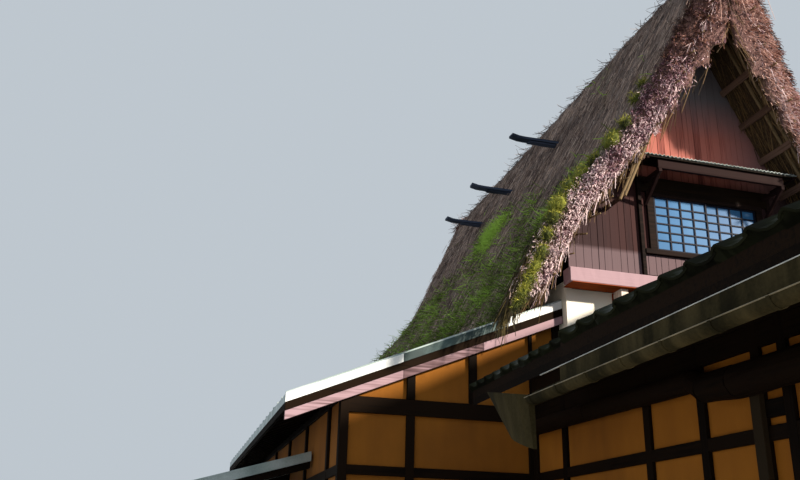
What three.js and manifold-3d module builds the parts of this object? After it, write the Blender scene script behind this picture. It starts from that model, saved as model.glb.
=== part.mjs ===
// Minka farmhouse: a steep thatched house with a lean-to along each side and a tiled wing in front.
// Millimetres, +Z up. In the house's own layout x = 0 is under the thatch ridge, y = 0 is the face of the
// front gable wall and z = 0 is the ground. At the end the layout moves so that the origin is the middle of
// the base of the whole house.

import * as THREE from 'three';
import { ConvexGeometry } from 'three/addons/geometries/ConvexGeometry.js';
import { mergeVertices } from 'three/addons/utils/BufferGeometryUtils.js';
import Module from 'manifold-3d';

// Driving dimensions: plan
const bodyHalf = 2340;
const bodyLength = 9555;
const leanHalf = 5604;
const leanInset = 320;
const wingHalf = 2820;
const wingNear = -7740;

// Driving dimensions: heights
const plinthTop = 250;
const floorTop = 310;
const bodyWallTop = 5310;
const railLow = 2505;
const railHigh = 2630;
const beamLow = 3320;
const beamHigh = 3540;

// Driving dimensions: walls and timber
const timberDepth = 40;
const plasterDepth = 90;
const wallDepth = timberDepth + plasterDepth;
const postWidth = 120;
const topRail = 90;
const footingWidth = 200;
const atticFloorDepth = 90;
const seat = 0.3;

// Driving dimensions: thatch. Heights are on the vertical plane under the ridge, and fall with the distance
// from it.
const thatchFall = 2.1;
const thatchUnder = 10350;
const thatchOver = 11250;
const thatchBlunt = 10620;
const vergeFoot = 480;
const vergeLean = 0.2;
const vergeFootHeight = 4850;
const ridgeOverhang = 1740;

// Driving dimensions: lean-to roofs
const leanRoofTop = 6121;
const leanFall = 0.415;
const leanEave = 6370;
const leanSheet = 110;
const leanRafter = 100;
const leanVerge = 190;
const leanBargeboard = 235;

// Driving dimensions: tiled wing roof
const wingRoofTop = 5760;
const wingFall = 0.535;
const wingEave = 4170;
const porchEave = 5080;
const porchFar = -5350;
const shortEave = 2900;
const wingRoofFar = -950;
const wingRoofNear = -8350;
const tileDepth = 152;
const wingRafter = 90;

// Driving dimensions: gables
const beamFront = -320;
const beamBack = -90;
const beamTop = 5530;
const boardFace = -230;
const boardDepth = 30;
const windowHalf = 930;
const windowSill = 5975;
const windowHead = 6875;
const sashThickness = 22;
const pentNear = -800;
const pentEave = 7310;
const pentTop = 7515;
const pentSheet = 60;

// Driving dimensions: side porch
const sidePorchEave = -7440;
const sidePorchNear = 2550;
const sidePorchFar = 5300;
const sidePorchTop = 3000;
const sidePorchFall = 0.293;

// Materials, one for each finish of the house
const plaster = new THREE.MeshStandardMaterial({ color: '#b07a3a', roughness: 0.95, metalness: 0 });
const darkTimber = new THREE.MeshStandardMaterial({ color: '#2e2019', roughness: 0.8, metalness: 0 });
const redBoards = new THREE.MeshStandardMaterial({ color: '#7a4636', roughness: 0.85, metalness: 0 });
const greyTimber = new THREE.MeshStandardMaterial({ color: '#8a7f78', roughness: 0.9, metalness: 0 });
const thatch = new THREE.MeshStandardMaterial({ color: '#5b4a38', roughness: 1, metalness: 0 });
const bamboo = new THREE.MeshStandardMaterial({ color: '#8d7350', roughness: 0.8, metalness: 0 });
const sheetMetal = new THREE.MeshStandardMaterial({ color: '#8fa0a0', roughness: 0.55, metalness: 0.6 });
const copper = new THREE.MeshStandardMaterial({ color: '#4c4a35', roughness: 0.6, metalness: 0.5 });
const roofTile = new THREE.MeshStandardMaterial({ color: '#59605c', roughness: 0.6, metalness: 0 });
const stone = new THREE.MeshStandardMaterial({ color: '#85827b', roughness: 0.9, metalness: 0 });
const paper = new THREE.MeshStandardMaterial({ color: '#9cc4e0', roughness: 0.4, metalness: 0 });

const wasm = await Module();
wasm.setup();

const house = new THREE.Group();

function add(name, geometry, material) {
  const mesh = new THREE.Mesh(geometry, material);
  mesh.name = name;
  house.add(mesh);
}

// Closed solids are joined and cut here
function toSolid(geometry) {
  const bare = geometry.clone();
  bare.deleteAttribute('normal');
  bare.deleteAttribute('uv');
  const merged = mergeVertices(bare, 1e-3);
  return new wasm.Manifold(new wasm.Mesh({
    numProp: 3,
    vertProperties: new Float32Array(merged.attributes.position.array),
    triVerts: new Uint32Array(merged.index.array),
  }));
}

function toGeometry(solid) {
  const mesh = solid.getMesh();
  const geometry = new THREE.BufferGeometry();
  geometry.setAttribute('position', new THREE.BufferAttribute(mesh.vertProperties, mesh.numProp));
  geometry.setIndex(new THREE.BufferAttribute(mesh.triVerts, 1));
  geometry.computeVertexNormals();
  return geometry;
}

function join(...geometries) {
  return toGeometry(geometries.map(toSolid).reduce((whole, next) => whole.add(next)));
}

function cut(geometry, ...tools) {
  return toGeometry(tools.map(toSolid).reduce((whole, next) => whole.subtract(next), toSolid(geometry)));
}

// Basic shapes
function block(x0, x1, y0, y1, z0, z1) {
  const geometry = new THREE.BoxGeometry(x1 - x0, y1 - y0, z1 - z0);
  return geometry.translate((x0 + x1) / 2, (y0 + y1) / 2, (z0 + z1) / 2);
}

function rect(u0, u1, v0, v1) {
  return [[u0, v0], [u1, v0], [u1, v1], [u0, v1]];
}

// A flat outline with holes, raised straight up from z = 0
function extrude(points, holes, depth) {
  const section = new wasm.CrossSection([points, ...holes], 'EvenOdd');
  return toGeometry(section.extrude(depth));
}

// A flat piece that runs across the house: its outline is in x and z, and it fills yFront to yFront + depth
function across(points, holes, yFront, depth) {
  return extrude(points, holes, depth).rotateX(Math.PI / 2).translate(0, yFront + depth, 0);
}

// A flat piece that runs along the house: its outline is in y and z, and it fills xLeft to xLeft + depth
function along(points, holes, xLeft, depth) {
  return extrude(points, holes, depth).rotateX(Math.PI / 2).rotateZ(Math.PI / 2).translate(xLeft, 0, 0);
}

// A sloping slab: its outline is in plan, and topAt gives the height of its top face at a distance from x = 0
function sloping(plan, holes, depth, topAt) {
  const geometry = extrude(plan, holes, depth);
  const position = geometry.attributes.position;
  for (let i = 0; i < position.count; i += 1) {
    position.setZ(i, position.getZ(i) - depth + topAt(position.getX(i)));
  }
  geometry.computeVertexNormals();
  return geometry;
}

function hull(points) {
  return new ConvexGeometry(points.map(([x, y, z]) => new THREE.Vector3(x, y, z)));
}

// A round log or pole through stations, each a point and a radius. The turn function lays out one ring of it,
// such as an upright ring for a log that runs along the house.
function log(stations, sides, turn) {
  const segments = stations.slice(1).map((end, i) => {
    const ring = ([x, y, z, r]) => Array.from({ length: sides }, (_, k) => {
      const angle = (k + 0.5) * 2 * Math.PI / sides;
      return turn([x, y, z], r * Math.cos(angle), r * Math.sin(angle));
    });
    return hull([...ring(stations[i]), ...ring(end)]);
  });
  return segments.length === 1 ? segments[0] : join(...segments);
}

const uprightRing = ([x, y, z], a, b) => [x + a, y, z + b];

// Heights of the roofs at a distance from the ridge
const thatchUnderAt = (x) => thatchUnder - thatchFall * Math.abs(x);
const leanTopAt = (x) => leanRoofTop - leanFall * Math.abs(x);
const wingTopAt = (x) => wingRoofTop - wingFall * Math.abs(x);
const leanWallTopAt = (x) => leanTopAt(x) - leanSheet - leanRafter - 1;
const wingWallTopAt = (x) => wingTopAt(x) - tileDepth - wingRafter - 1;
const vergeAt = (z) => vergeFoot + vergeLean * (z - vergeFootHeight);

// Holes of a timber frame: one between each two neighbouring posts of a zone. A post is its centre, or its
// centre and its own width. A zone's top is a height or a function of the place along the wall.
function baysOf(zones) {
  const holes = [];
  for (const zone of zones) {
    const posts = zone.posts.map((post) => (Array.isArray(post) ? post : [post, postWidth]));
    const topAt = typeof zone.top === 'function' ? zone.top : () => zone.top;
    for (let i = 0; i + 1 < posts.length; i += 1) {
      const left = posts[i][0] + posts[i][1] / 2;
      const right = posts[i + 1][0] - posts[i + 1][1] / 2;
      holes.push([[left, zone.low], [right, zone.low], [right, topAt(right)], [left, topAt(left)]]);
    }
  }
  return holes;
}

// Footing of stone under every outer wall, and the floors
function footprint(inset) {
  return [
    [-leanHalf + inset, leanInset + inset], [-wingHalf + inset, leanInset + inset],
    [-wingHalf + inset, wingNear + inset], [wingHalf - inset, wingNear + inset],
    [wingHalf - inset, leanInset + inset], [leanHalf - inset, leanInset + inset],
    [leanHalf - inset, bodyLength - inset], [-leanHalf + inset, bodyLength - inset],
  ];
}

add('stone_footing', extrude(footprint(0), [footprint(footingWidth)], plinthTop), stone);
add('ground_floor', extrude(footprint(wallDepth), [], floorTop - plinthTop).translate(0, 0, plinthTop),
  darkTimber);
add('attic_floor', block(-bodyHalf + plasterDepth, bodyHalf - plasterDepth, beamBack, bodyLength - beamBack,
  bodyWallTop, bodyWallTop + atticFloorDepth), darkTimber);

// Front wall of the main body, with the wide doorway to the wing
const doorHalf = 910;
const doorTop = 2310;
const cornerPost = bodyHalf - postWidth / 2;
const studPost = bodyHalf - 750;
const doorPost = doorHalf + postWidth / 2;
const bodyPosts = [-cornerPost, -studPost, -doorPost, doorPost, studPost, cornerPost];
const bodyWall = [
  [-bodyHalf, floorTop], [-doorHalf, floorTop], [-doorHalf, doorTop], [doorHalf, doorTop],
  [doorHalf, floorTop], [bodyHalf, floorTop], [bodyHalf, bodyWallTop], [-bodyHalf, bodyWallTop],
];
const upperBays = [
  { low: doorTop + postWidth, top: beamLow, posts: bodyPosts },
  { low: beamHigh, top: bodyWallTop - topRail, posts: bodyPosts },
];
const bodyBays = baysOf([
  { low: floorTop + postWidth, top: doorTop, posts: bodyPosts.slice(0, 3) },
  { low: floorTop + postWidth, top: doorTop, posts: bodyPosts.slice(3) },
  ...upperBays,
]);
add('main_front_wall', across(bodyWall, [], timberDepth, plasterDepth), plaster);
add('main_front_timbers', across(bodyWall, bodyBays, 0, timberDepth), darkTimber);

// Side walls of the main body: a strip above the lean-to roofs, with a leg to the floor at the front
const sideWallLow = 4890;
const sideWallTop = thatchUnderAt(bodyHalf) - 0.5;
const legDepth = 330;
for (const [name, xLeft] of [['left', -bodyHalf], ['right', bodyHalf - plasterDepth]]) {
  const wall = [
    [wallDepth, floorTop], [wallDepth + legDepth, floorTop], [wallDepth + legDepth, sideWallLow],
    [bodyLength - wallDepth, sideWallLow], [bodyLength - wallDepth, bodyWallTop],
    [bodyLength - beamBack, bodyWallTop], [bodyLength - beamBack, sideWallTop], [beamBack, sideWallTop],
    [beamBack, bodyWallTop], [wallDepth, bodyWallTop],
  ];
  add(`main_side_wall_${name}`, along(wall, [], xLeft, plasterDepth), plaster);
}

// Lean-to walls at the front, set back from the gable wall, and along the sides with their rows of windows
const leanPosts = [leanInset + postWidth / 2, 1230, 3250, 5270, 7290, bodyLength - postWidth / 2];
const leanMiddlePost = 4620;
const windowLow = 1100;
const windowHigh = 2300;
const screenDepth = 12;
const sideTop = leanWallTopAt(leanHalf);
const windowPosts = [...leanPosts.slice(1, 5), bodyLength - 200];
const leanWindows = baysOf([{ low: windowLow, top: windowHigh, posts: windowPosts }]);
const leanScreen = rect(windowPosts[0], windowPosts[4], windowLow - 50, windowHigh + 50);
const leanFront = leanInset + timberDepth;
for (const [name, side] of [['left', -1], ['right', 1]]) {
  const mirror = (points) => points.map(([u, v]) => [side * u, v]);
  const xFrom = (inner, depth) => (side < 0 ? -inner - depth : inner);
  const endWallTo = (outer) => mirror([
    [bodyHalf, floorTop], [wingHalf - wallDepth, floorTop], [wingHalf - wallDepth, plinthTop],
    [outer, plinthTop], [outer, leanWallTopAt(outer)], [bodyHalf, leanWallTopAt(bodyHalf)],
  ]);
  const innerPost = bodyHalf + postWidth / 2;
  const outerPost = leanHalf - postWidth / 2;
  const lowPosts = [innerPost, wingHalf, leanMiddlePost, outerPost];
  const endBays = baysOf([
    { low: floorTop + postWidth, top: railLow, posts: lowPosts },
    { low: railHigh, top: beamLow, posts: lowPosts },
    { low: beamHigh, top: (x) => leanWallTopAt(x) - topRail, posts: [innerPost, [2815, 50], 3710] },
    { low: beamHigh, top: (x) => leanWallTopAt(x) - topRail, posts: [3710, leanMiddlePost] },
  ]);
  const sideBays = baysOf([
    { low: plinthTop + postWidth, top: windowLow - 100, posts: leanPosts },
    { low: windowLow, top: windowHigh, posts: windowPosts },
    { low: windowHigh + 100, top: railLow, posts: leanPosts },
    { low: railHigh, top: sideTop - topRail, posts: leanPosts },
  ]);
  const sideWall = rect(leanFront + plasterDepth, bodyLength - wallDepth, plinthTop, sideTop);
  const screenFrom = leanHalf - timberDepth - screenDepth;
  add(`lean_to_end_wall_${name}`, across(endWallTo(leanHalf - timberDepth), [], leanFront, plasterDepth),
    plaster);
  add(`lean_to_side_wall_${name}`, join(
    along(sideWall, [leanScreen], xFrom(screenFrom, screenDepth), screenDepth),
    along(sideWall, leanWindows, xFrom(leanHalf - wallDepth, plasterDepth - screenDepth),
      plasterDepth - screenDepth),
  ), plaster);
  add(`lean_to_screens_${name}`, along(leanScreen, [], xFrom(screenFrom, screenDepth), screenDepth), paper);
  add(`lean_to_timbers_${name}`, join(
    across(endWallTo(leanHalf), endBays.map(mirror), leanInset, timberDepth),
    along(rect(leanFront - 1, bodyLength - timberDepth, plinthTop, sideTop), sideBays,
      xFrom(leanHalf - timberDepth, timberDepth), timberDepth),
  ), darkTimber);
}

// Rear wall: one plane for the main body and both lean-tos
const rearWallTo = (outer) => [
  [-outer, plinthTop], [outer, plinthTop], [outer, leanWallTopAt(leanHalf)],
  [bodyHalf, leanWallTopAt(bodyHalf)], [bodyHalf, bodyWallTop], [-bodyHalf, bodyWallTop],
  [-bodyHalf, leanWallTopAt(bodyHalf)], [-outer, leanWallTopAt(leanHalf)],
];
const rearOuterPosts = [cornerPost, 3450, leanMiddlePost, leanHalf - postWidth / 2];
const rearPosts = [...rearOuterPosts.map((x) => -x).reverse(), -doorPost, doorPost, ...rearOuterPosts];
const rearBays = baysOf([
  { low: plinthTop + postWidth, top: railLow, posts: rearPosts },
  { low: railHigh, top: beamLow, posts: rearPosts },
  { low: beamHigh, top: bodyWallTop - topRail, posts: rearPosts.slice(3, 7) },
  { low: beamHigh, top: (x) => leanWallTopAt(x) - topRail, posts: rearPosts.slice(1, 4) },
  { low: beamHigh, top: (x) => leanWallTopAt(x) - topRail, posts: rearPosts.slice(6, 9) },
]);
const rearFace = bodyLength - timberDepth;
add('rear_wall', across(rearWallTo(leanHalf - timberDepth), [], bodyLength - wallDepth, plasterDepth),
  plaster);
add('rear_timbers', across(rearWallTo(leanHalf), rearBays, rearFace, timberDepth), darkTimber);

// Gables: a base beam, boards up to the thatch, a framed window and a small pent roof over it. The rear gable
// is the front one turned round.
const slopeAt = (z) => (thatchUnder - z) / thatchFall - 1;
const toRear = (geometry) => geometry.clone().rotateZ(Math.PI).translate(0, bodyLength, 0);
const beamHalf = 2370;
const baseBeam = across([
  [-beamHalf, bodyWallTop], [beamHalf, bodyWallTop], [beamHalf, thatchUnderAt(beamHalf + 1)],
  [slopeAt(beamTop), beamTop], [-slopeAt(beamTop), beamTop], [-beamHalf, thatchUnderAt(beamHalf + 1)],
], [], beamFront, beamBack - beamFront);
const windowHole = rect(-windowHalf, windowHalf, windowSill, windowHead);
const gableBoards = across([[-slopeAt(beamTop), beamTop], [slopeAt(beamTop), beamTop],
  [0, thatchUnder - thatchFall]], [windowHole], boardFace, boardDepth);
const frameHalf = 1203;
const frameTop = 7200;
const frameDepth = 40;
const frameInner = frameHalf - 66;
const jambOuter = windowHalf + 115;
const windowFrame = across(rect(-frameHalf, frameHalf, beamTop, frameTop), [
  windowHole, rect(-frameInner, frameInner, beamTop + 15, windowSill - 75),
  rect(-frameInner, -jambOuter, windowSill, windowHead), rect(jambOuter, frameInner, windowSill, windowHead),
], boardFace - frameDepth, frameDepth);
const pentHalf = 1340;
const pentRoof = hull([-pentHalf, pentHalf].flatMap((x) => [
  [x, pentNear, pentEave], [x, pentNear, pentEave - pentSheet],
  [x, boardFace, pentTop], [x, boardFace, pentTop - pentSheet],
]));
const fasciaHalf = 1110;
const fasciaFront = pentNear + 40;
const fasciaLow = 7110;
const armWidth = 60;
const armBack = boardFace - frameDepth;
const pentArm = (x) => block(x, x + armWidth, fasciaFront, armBack, fasciaLow - 60, fasciaLow + 1);
const pentFascia = join(
  block(-fasciaHalf, fasciaHalf, fasciaFront, fasciaFront + 40, fasciaLow, pentEave - 47),
  pentArm(-fasciaHalf), pentArm(fasciaHalf - armWidth),
);
const sash = (x0, x1, yFront) => block(x0, x1, yFront, yFront + sashThickness, windowSill, windowHead);
add('front_base_beam', baseBeam, greyTimber);
add('front_gable_boards', gableBoards, redBoards);
add('front_window_frame', windowFrame, redBoards);
add('front_window_sash_left', sash(-windowHalf, 20, -262), paper);
add('front_window_sash_right', sash(-20, windowHalf, -236), paper);
add('front_pent_roof', pentRoof, sheetMetal);
add('front_pent_fascia', pentFascia, darkTimber);
add('rear_base_beam', toRear(baseBeam), greyTimber);
add('rear_gable_boards', toRear(gableBoards), redBoards);
add('rear_window', toRear(join(windowFrame,
  block(-windowHalf - 1, windowHalf + 1, -260, -240, windowSill - 1, windowHead + 1))), redBoards);
add('rear_pent_roof', toRear(join(pentRoof, pentFascia,
  block(-fasciaHalf + 30, fasciaHalf - 30, fasciaFront + 10, fasciaFront + 30, pentEave - 60, pentEave - 10))),
  sheetMetal);

// Thatch: one slope on each side, each with the thicker roll that hangs at both of its verges
const ridgeBoardRows = [[3065, 9415], [5440, 9360], [7240, 9245]];
const ridgeFlat = (thatchOver - thatchBlunt) / thatchFall;
const thatchFoot = [[3043.9, 4857.8], [2509.8, 5079.4]];
const thatchHead = [[0, thatchUnder], [0, thatchBlunt], [ridgeFlat, thatchBlunt]];
for (const [name, side] of [['left', -1], ['right', 1]]) {
  const slab = hull([...thatchFoot, ...thatchHead].flatMap(([x, z]) => [
    [side * x, -vergeAt(z), z + seat], [side * x, bodyLength + vergeAt(z), z + seat],
  ]));
  const roll = hull([
    [0, -vergeAt(9250), 9250], [0, -vergeAt(thatchUnder), thatchUnder], [0, -1250, thatchUnder],
    [side * 1520, -956, 7158], [side * 1520, -vergeAt(7158) + 1, 7160],
  ]);
  const slots = ridgeBoardRows.map(([y, z]) => block(-1950, 1950, y - 90.3, y + 90.3, z - 27.8, z + 27.8));
  const rearRoll = roll.clone().scale(1, -1, 1).translate(0, bodyLength, 0);
  add(`thatch_${name}`, cut(join(slab, roll, flipped(rearRoll)), ...slots), thatch);
}

// A mirrored geometry has its triangles turned inside out, and this turns them back
function flipped(geometry) {
  const mirrored = geometry.clone();
  const position = mirrored.attributes.position;
  for (let i = 0; i < position.count; i += 3) {
    const [x, y, z] = [position.getX(i), position.getY(i), position.getZ(i)];
    position.setXYZ(i, position.getX(i + 1), position.getY(i + 1), position.getZ(i + 1));
    position.setXYZ(i + 1, x, y, z);
  }
  return mirrored;
}

// Ridge cap: a round bundle along the blunt top of both slopes
add('ridge_cap', across([
  [-ridgeFlat, thatchBlunt + 1], [ridgeFlat, thatchBlunt + 1], [275, 10700], [205, 10810], [110, 10910],
  [0, 10960], [-110, 10910], [-205, 10810], [-275, 10700],
], [], -ridgeOverhang, bodyLength + 2 * ridgeOverhang), thatch);

// Boards that cross the ridge through the thatch, with the sloping purlin that ties them inside
const boardLips = (y, z) => [-1, 1].map((side) => hull([-1, 1].flatMap((edge) => [
  [side * 1800, y + edge * 90, z + 27.5], [side * 1885, y + edge * 90, z], [side * 1885, y + edge * 90, z + 75],
  [side * 1855, y + edge * 90, z + 75],
])));
add('ridge_boards', join(
  ...ridgeBoardRows.map(([y, z]) => block(-1885, 1885, y - 90, y + 90, z - 27.5, z + 27.5)),
  ...ridgeBoardRows.flatMap(([y, z]) => boardLips(y, z)),
  log(ridgeBoardRows.map(([y, z]) => [0, y, z, 70]), 8, uprightRing),
), bamboo);

// Verge poles: two poles on each slope under the thatch that overhangs a gable, and the boards they carry
const slopeLength = Math.hypot(1, thatchFall);
const inward = [-thatchFall / slopeLength, -1 / slopeLength];
const downward = [1 / slopeLength, -thatchFall / slopeLength];
function underThatch(x, below, down) {
  return [x + inward[0] * below + downward[0] * down, thatchUnderAt(x) + inward[1] * below + downward[1] * down];
}

const poleRadius = 27;
const poleRows = [-925, -785];
const poleBelow = 25.5;
const poleTop = [0, thatchUnder + poleBelow / inward[1]];
const poleFoot = underThatch(1840, poleBelow, 0);
const poleRing = (side) => ([x, y, z], a, b) => [
  x + side * inward[0] * b, y + a, z + inward[1] * b,
];
const poles = [-1, 1].flatMap((side) => poleRows.map((y) => log([
  [poleTop[0], y, poleTop[1], poleRadius], [side * poleFoot[0], y, poleFoot[1], poleRadius],
], 8, poleRing(side))));
const boardRows = [[9000, -1110], [8400, -1052], [7800, -994], [7200, -936], [6600, -820]];
const vergeBoards = [-1, 1].flatMap((side) => boardRows.map(([z, outer]) => {
  const x = (thatchUnder - z) / thatchFall;
  return hull([[48, -55], [48, 55], [78, -55], [78, 55]].flatMap(([below, down]) => {
    const [u, v] = underThatch(x, below, down);
    return [[side * u, outer, v], [side * u, boardFace, v]];
  }));
}));
const vergePoles = join(...poles, ...vergeBoards);
add('verge_poles_front', vergePoles, bamboo);
add('verge_poles_rear', toRear(vergePoles), bamboo);

// Rows of rafters under a roof: the strips between the openings, in plan
function rafterOpenings(y0, y1, spacing, width, runs) {
  const count = Math.round((y1 - y0) / spacing);
  const pitch = (y1 - y0 + width) / count;
  return Array.from({ length: count }, (_, i) => y0 + i * pitch).flatMap((y) => (
    runs.map(([x0, x1]) => rect(x0, x1, y, y + pitch - width))));
}

// Lean-to roofs: a covering on rafters, with a bargeboard along each verge
const leanBack = bodyLength + 120;
const leanUnderAt = (x) => leanTopAt(x) - leanSheet - seat;
const bargeDepth = 40;
for (const [name, side] of [['left', -1], ['right', 1]]) {
  const span = (x0, x1, y0, y1) => rect(...[side * x0, side * x1].sort((a, b) => a - b), y0, y1);
  const inner = bodyHalf + 0.5;
  const runs = [[inner + 60, leanHalf - wallDepth], [leanHalf, leanEave - 60]].map(
    (run) => run.map((x) => side * x).sort((a, b) => a - b));
  add(`lean_to_roof_${name}`, sloping(span(inner, leanEave, leanVerge, leanBack), [], leanSheet, leanTopAt),
    sheetMetal);
  add(`lean_to_rafters_${name}`, join(
    sloping(span(inner, leanEave, leanVerge + bargeDepth - 1, leanBack - bargeDepth + 1),
      rafterOpenings(leanFront + plasterDepth, bodyLength - wallDepth, 455, 60, runs), leanRafter,
      leanUnderAt),
    sloping(span(inner, leanEave, leanVerge, leanVerge + bargeDepth), [], leanBargeboard, leanUnderAt),
    sloping(span(inner, leanEave, leanBack - bargeDepth, leanBack), [], leanBargeboard, leanUnderAt),
  ), greyTimber);
}

// Wing walls: plaster with timbers in front, an entrance on the left under the porch, windows at the near end
const wingPosts = [[wingNear + 90, 180], -4925, -4570, -3695, -2690, -670, leanInset - postWidth / 2];
const entranceNear = wingNear + 180;
const entranceFar = wingPosts[1] - postWidth / 2;
const wingSideTop = wingWallTopAt(wingHalf);
const wingFront = wingNear + timberDepth;
const wingInner = wingNear + wallDepth;
const entrance = [[entranceNear, plinthTop], [entranceNear, windowHigh], [entranceFar, windowHigh],
  [entranceFar, plinthTop]];
const sideOutline = (near, far, gap) => [[near, plinthTop], ...gap, [far, plinthTop], [far, wingSideTop],
  [near, wingSideTop]];
const wingEnd = (half) => [[-half, plinthTop], [half, plinthTop], [half, wingWallTopAt(wingHalf)],
  [0, wingWallTopAt(0)], [-half, wingWallTopAt(wingHalf)]];
const endPosts = [-wingHalf + postWidth / 2, -doorPost, doorPost, wingHalf - postWidth / 2];
const endWindow = rect(-doorHalf, doorHalf, windowLow, windowHigh);
const endScreen = rect(-doorPost, doorPost, windowLow - 50, windowHigh + 50);
const wingSideBays = (lowPosts) => baysOf([
  { low: plinthTop + postWidth, top: railLow, posts: lowPosts },
  { low: railHigh, top: beamLow, posts: wingPosts },
]);
const wingEndBays = baysOf([
  { low: plinthTop + postWidth, top: railLow, posts: endPosts.slice(0, 2) },
  { low: plinthTop + postWidth, top: windowLow - 100, posts: endPosts.slice(1, 3) },
  { low: windowLow, top: windowHigh, posts: endPosts.slice(1, 3) },
  { low: plinthTop + postWidth, top: railLow, posts: endPosts.slice(2) },
  { low: railHigh, top: beamLow, posts: endPosts },
  { low: beamHigh, top: (x) => wingWallTopAt(x) - 2 * topRail, posts: endPosts.slice(1, 3) },
]);
const wallLeft = -wingHalf + timberDepth;
const wallRight = wingHalf - wallDepth;
add('wing_wall_left', along(sideOutline(wingInner, leanInset, entrance), [], wallLeft, plasterDepth), plaster);
add('wing_wall_right', along(sideOutline(wingInner, leanInset, []), [], wallRight, plasterDepth), plaster);
add('wing_wall_front', join(
  across(wingEnd(wingHalf - timberDepth), [endScreen], wingFront, screenDepth),
  across(wingEnd(wingHalf - timberDepth), [endWindow], wingFront + screenDepth, plasterDepth - screenDepth),
), plaster);
add('wing_screen', across(endScreen, [], wingFront, screenDepth), paper);
add('wing_timbers', join(
  along(sideOutline(wingNear + 1, leanInset, entrance), wingSideBays(wingPosts.slice(1)), -wingHalf,
    timberDepth),
  along(sideOutline(wingNear + 1, leanInset, []), wingSideBays(wingPosts), wingHalf - timberDepth,
    timberDepth),
  across(wingEnd(wingHalf), wingEndBays, wingNear, timberDepth),
), darkTimber);
add('entrance_doors', block(-wingHalf + timberDepth + 10, -wingHalf + timberDepth + 50, entranceNear,
  entranceFar, plinthTop, windowHigh), darkTimber);

// Wing roof: tiles on rafters, wider over the porch, cut round the front gable where it is above the base beam
const underBeam = 880;
const roofPlan = (eaves) => [
  [0, wingRoofNear], ...eaves, [shortEave, leanInset], [bodyHalf, leanInset], [bodyHalf, 0],
  [underBeam, 0], [underBeam, beamFront], [0, beamFront],
];
const porchEaves = [[porchEave, wingRoofNear], [porchEave, porchFar], [wingEave, porchFar],
  [wingEave, wingRoofFar], [shortEave, wingRoofFar]];
const plainEaves = [[wingEave, wingRoofNear], [wingEave, wingRoofFar], [shortEave, wingRoofFar]];
const toLeft = (points) => points.map(([x, y]) => [-x, y]);
const leftPlan = toLeft(roofPlan(porchEaves));
const rightPlan = roofPlan(plainEaves);
const wingUnderAt = (x) => wingTopAt(x) - tileDepth - seat;
const overhangRuns = (eave) => [[120, wingHalf - wallDepth], [wingHalf, eave - 60]];
const roomRuns = [[120, wingHalf - wallDepth]];
const openingsFor = (porch) => [
  ...rafterOpenings(wingInner, porchFar - 60, 455, 60, overhangRuns(porch)),
  ...rafterOpenings(porchFar, wingRoofFar - 60, 455, 60, overhangRuns(wingEave)),
  ...rafterOpenings(wingRoofFar, beamFront - 100, 455, 60, roomRuns),
];
add('wing_roof_left', sloping(leftPlan, [], tileDepth, wingTopAt), roofTile);
add('wing_roof_right', sloping(rightPlan, [], tileDepth, wingTopAt), roofTile);
add('wing_rafters', join(
  sloping(leftPlan, openingsFor(porchEave).map(toLeft), wingRafter, wingUnderAt),
  sloping(rightPlan, openingsFor(wingEave), wingRafter, wingUnderAt),
), greyTimber);
const ridgeHalf = 160;
add('wing_ridge', across([
  [-ridgeHalf, wingTopAt(ridgeHalf) + 1], [0, wingRoofTop + 1], [ridgeHalf, wingTopAt(ridgeHalf) + 1],
  [ridgeHalf, wingRoofTop - 18], [100, wingRoofTop + 142], [-100, wingRoofTop + 142],
  [-ridgeHalf, wingRoofTop - 18],
], [], wingRoofNear, beamFront - 5 - wingRoofNear), roofTile);

// Crooked log beam along the left wall of the wing, lower and thicker over the entrance, on a proud post
const logAt = (y, z, radius) => [-wingHalf - seat - radius, y, z, radius];
add('wing_log_frame', join(
  log([logAt(-7500, 3040, 135), logAt(-4500, 3030, 150), logAt(-4020, 3055, 140), logAt(-3780, 3165, 112),
    logAt(-1600, 3200, 108), logAt(250, 3215, 100)], 12, uprightRing),
  block(-wingHalf - 60, -wingHalf - seat, -4635, -4504, 0, 3000),
), darkTimber);

// Porch over the entrance: an eave beam on a post at the near end, tied back to the wing wall
const porchBeamTop = 2842;
const porchBeamLow = 2700;
add('wing_porch_frame', join(
  block(-5000, -4900, -8300, porchFar + 10, porchBeamLow, porchBeamTop),
  block(-5010, -4890, -8260, -8140, 0, porchBeamTop - 20),
  block(-4950, -wingHalf, -7720, -7620, porchBeamLow, porchBeamTop),
), darkTimber);

// Gutter below the porch eave with a fascia behind it, and the funnel at its far end
const gutterX = -5140;
const gutterLip = 2655;
const gutterFascia = 2825;
const gutterNear = -8350;
const gutterFar = -4930;
function halfRound(radius) {
  return Array.from({ length: 13 }, (_, i) => {
    const angle = Math.PI + i * Math.PI / 12;
    return [gutterX + radius * Math.cos(angle), gutterLip + radius * Math.sin(angle)];
  });
}

function funnelRing(yNear, yFar, zNear, zFar, halfWidth, inset) {
  return Array.from({ length: 12 }, (_, i) => {
    const angle = (i + 0.5) * Math.PI / 6;
    const y = (yNear + yFar) / 2 + ((yFar - yNear) / 2 - inset) * Math.cos(angle);
    const z = zNear + (zFar - zNear) * (y - yNear) / (yFar - yNear);
    return [gutterX + (halfWidth - inset) * Math.sin(angle), y, z];
  });
}

const funnelShape = (inset, extra) => hull([
  ...funnelRing(-4945, -4070, 2680 + extra, 2850 + extra, 110, inset),
  ...funnelRing(-4990, -4560, 2270 - extra, 2410 - extra, 55, inset),
]);
add('wing_gutter', join(
  across([...halfRound(55), ...halfRound(49).reverse()], [], gutterNear, gutterFar - gutterNear),
  block(gutterX + 49, -porchEave, gutterNear, porchFar, gutterLip - 10, gutterFascia),
  block(gutterX + 40, gutterX + 55, porchFar - 100, gutterFar + 60, gutterLip - 40, gutterLip + 60),
  cut(funnelShape(0, 0), funnelShape(12, 1)),
), copper);

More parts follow.
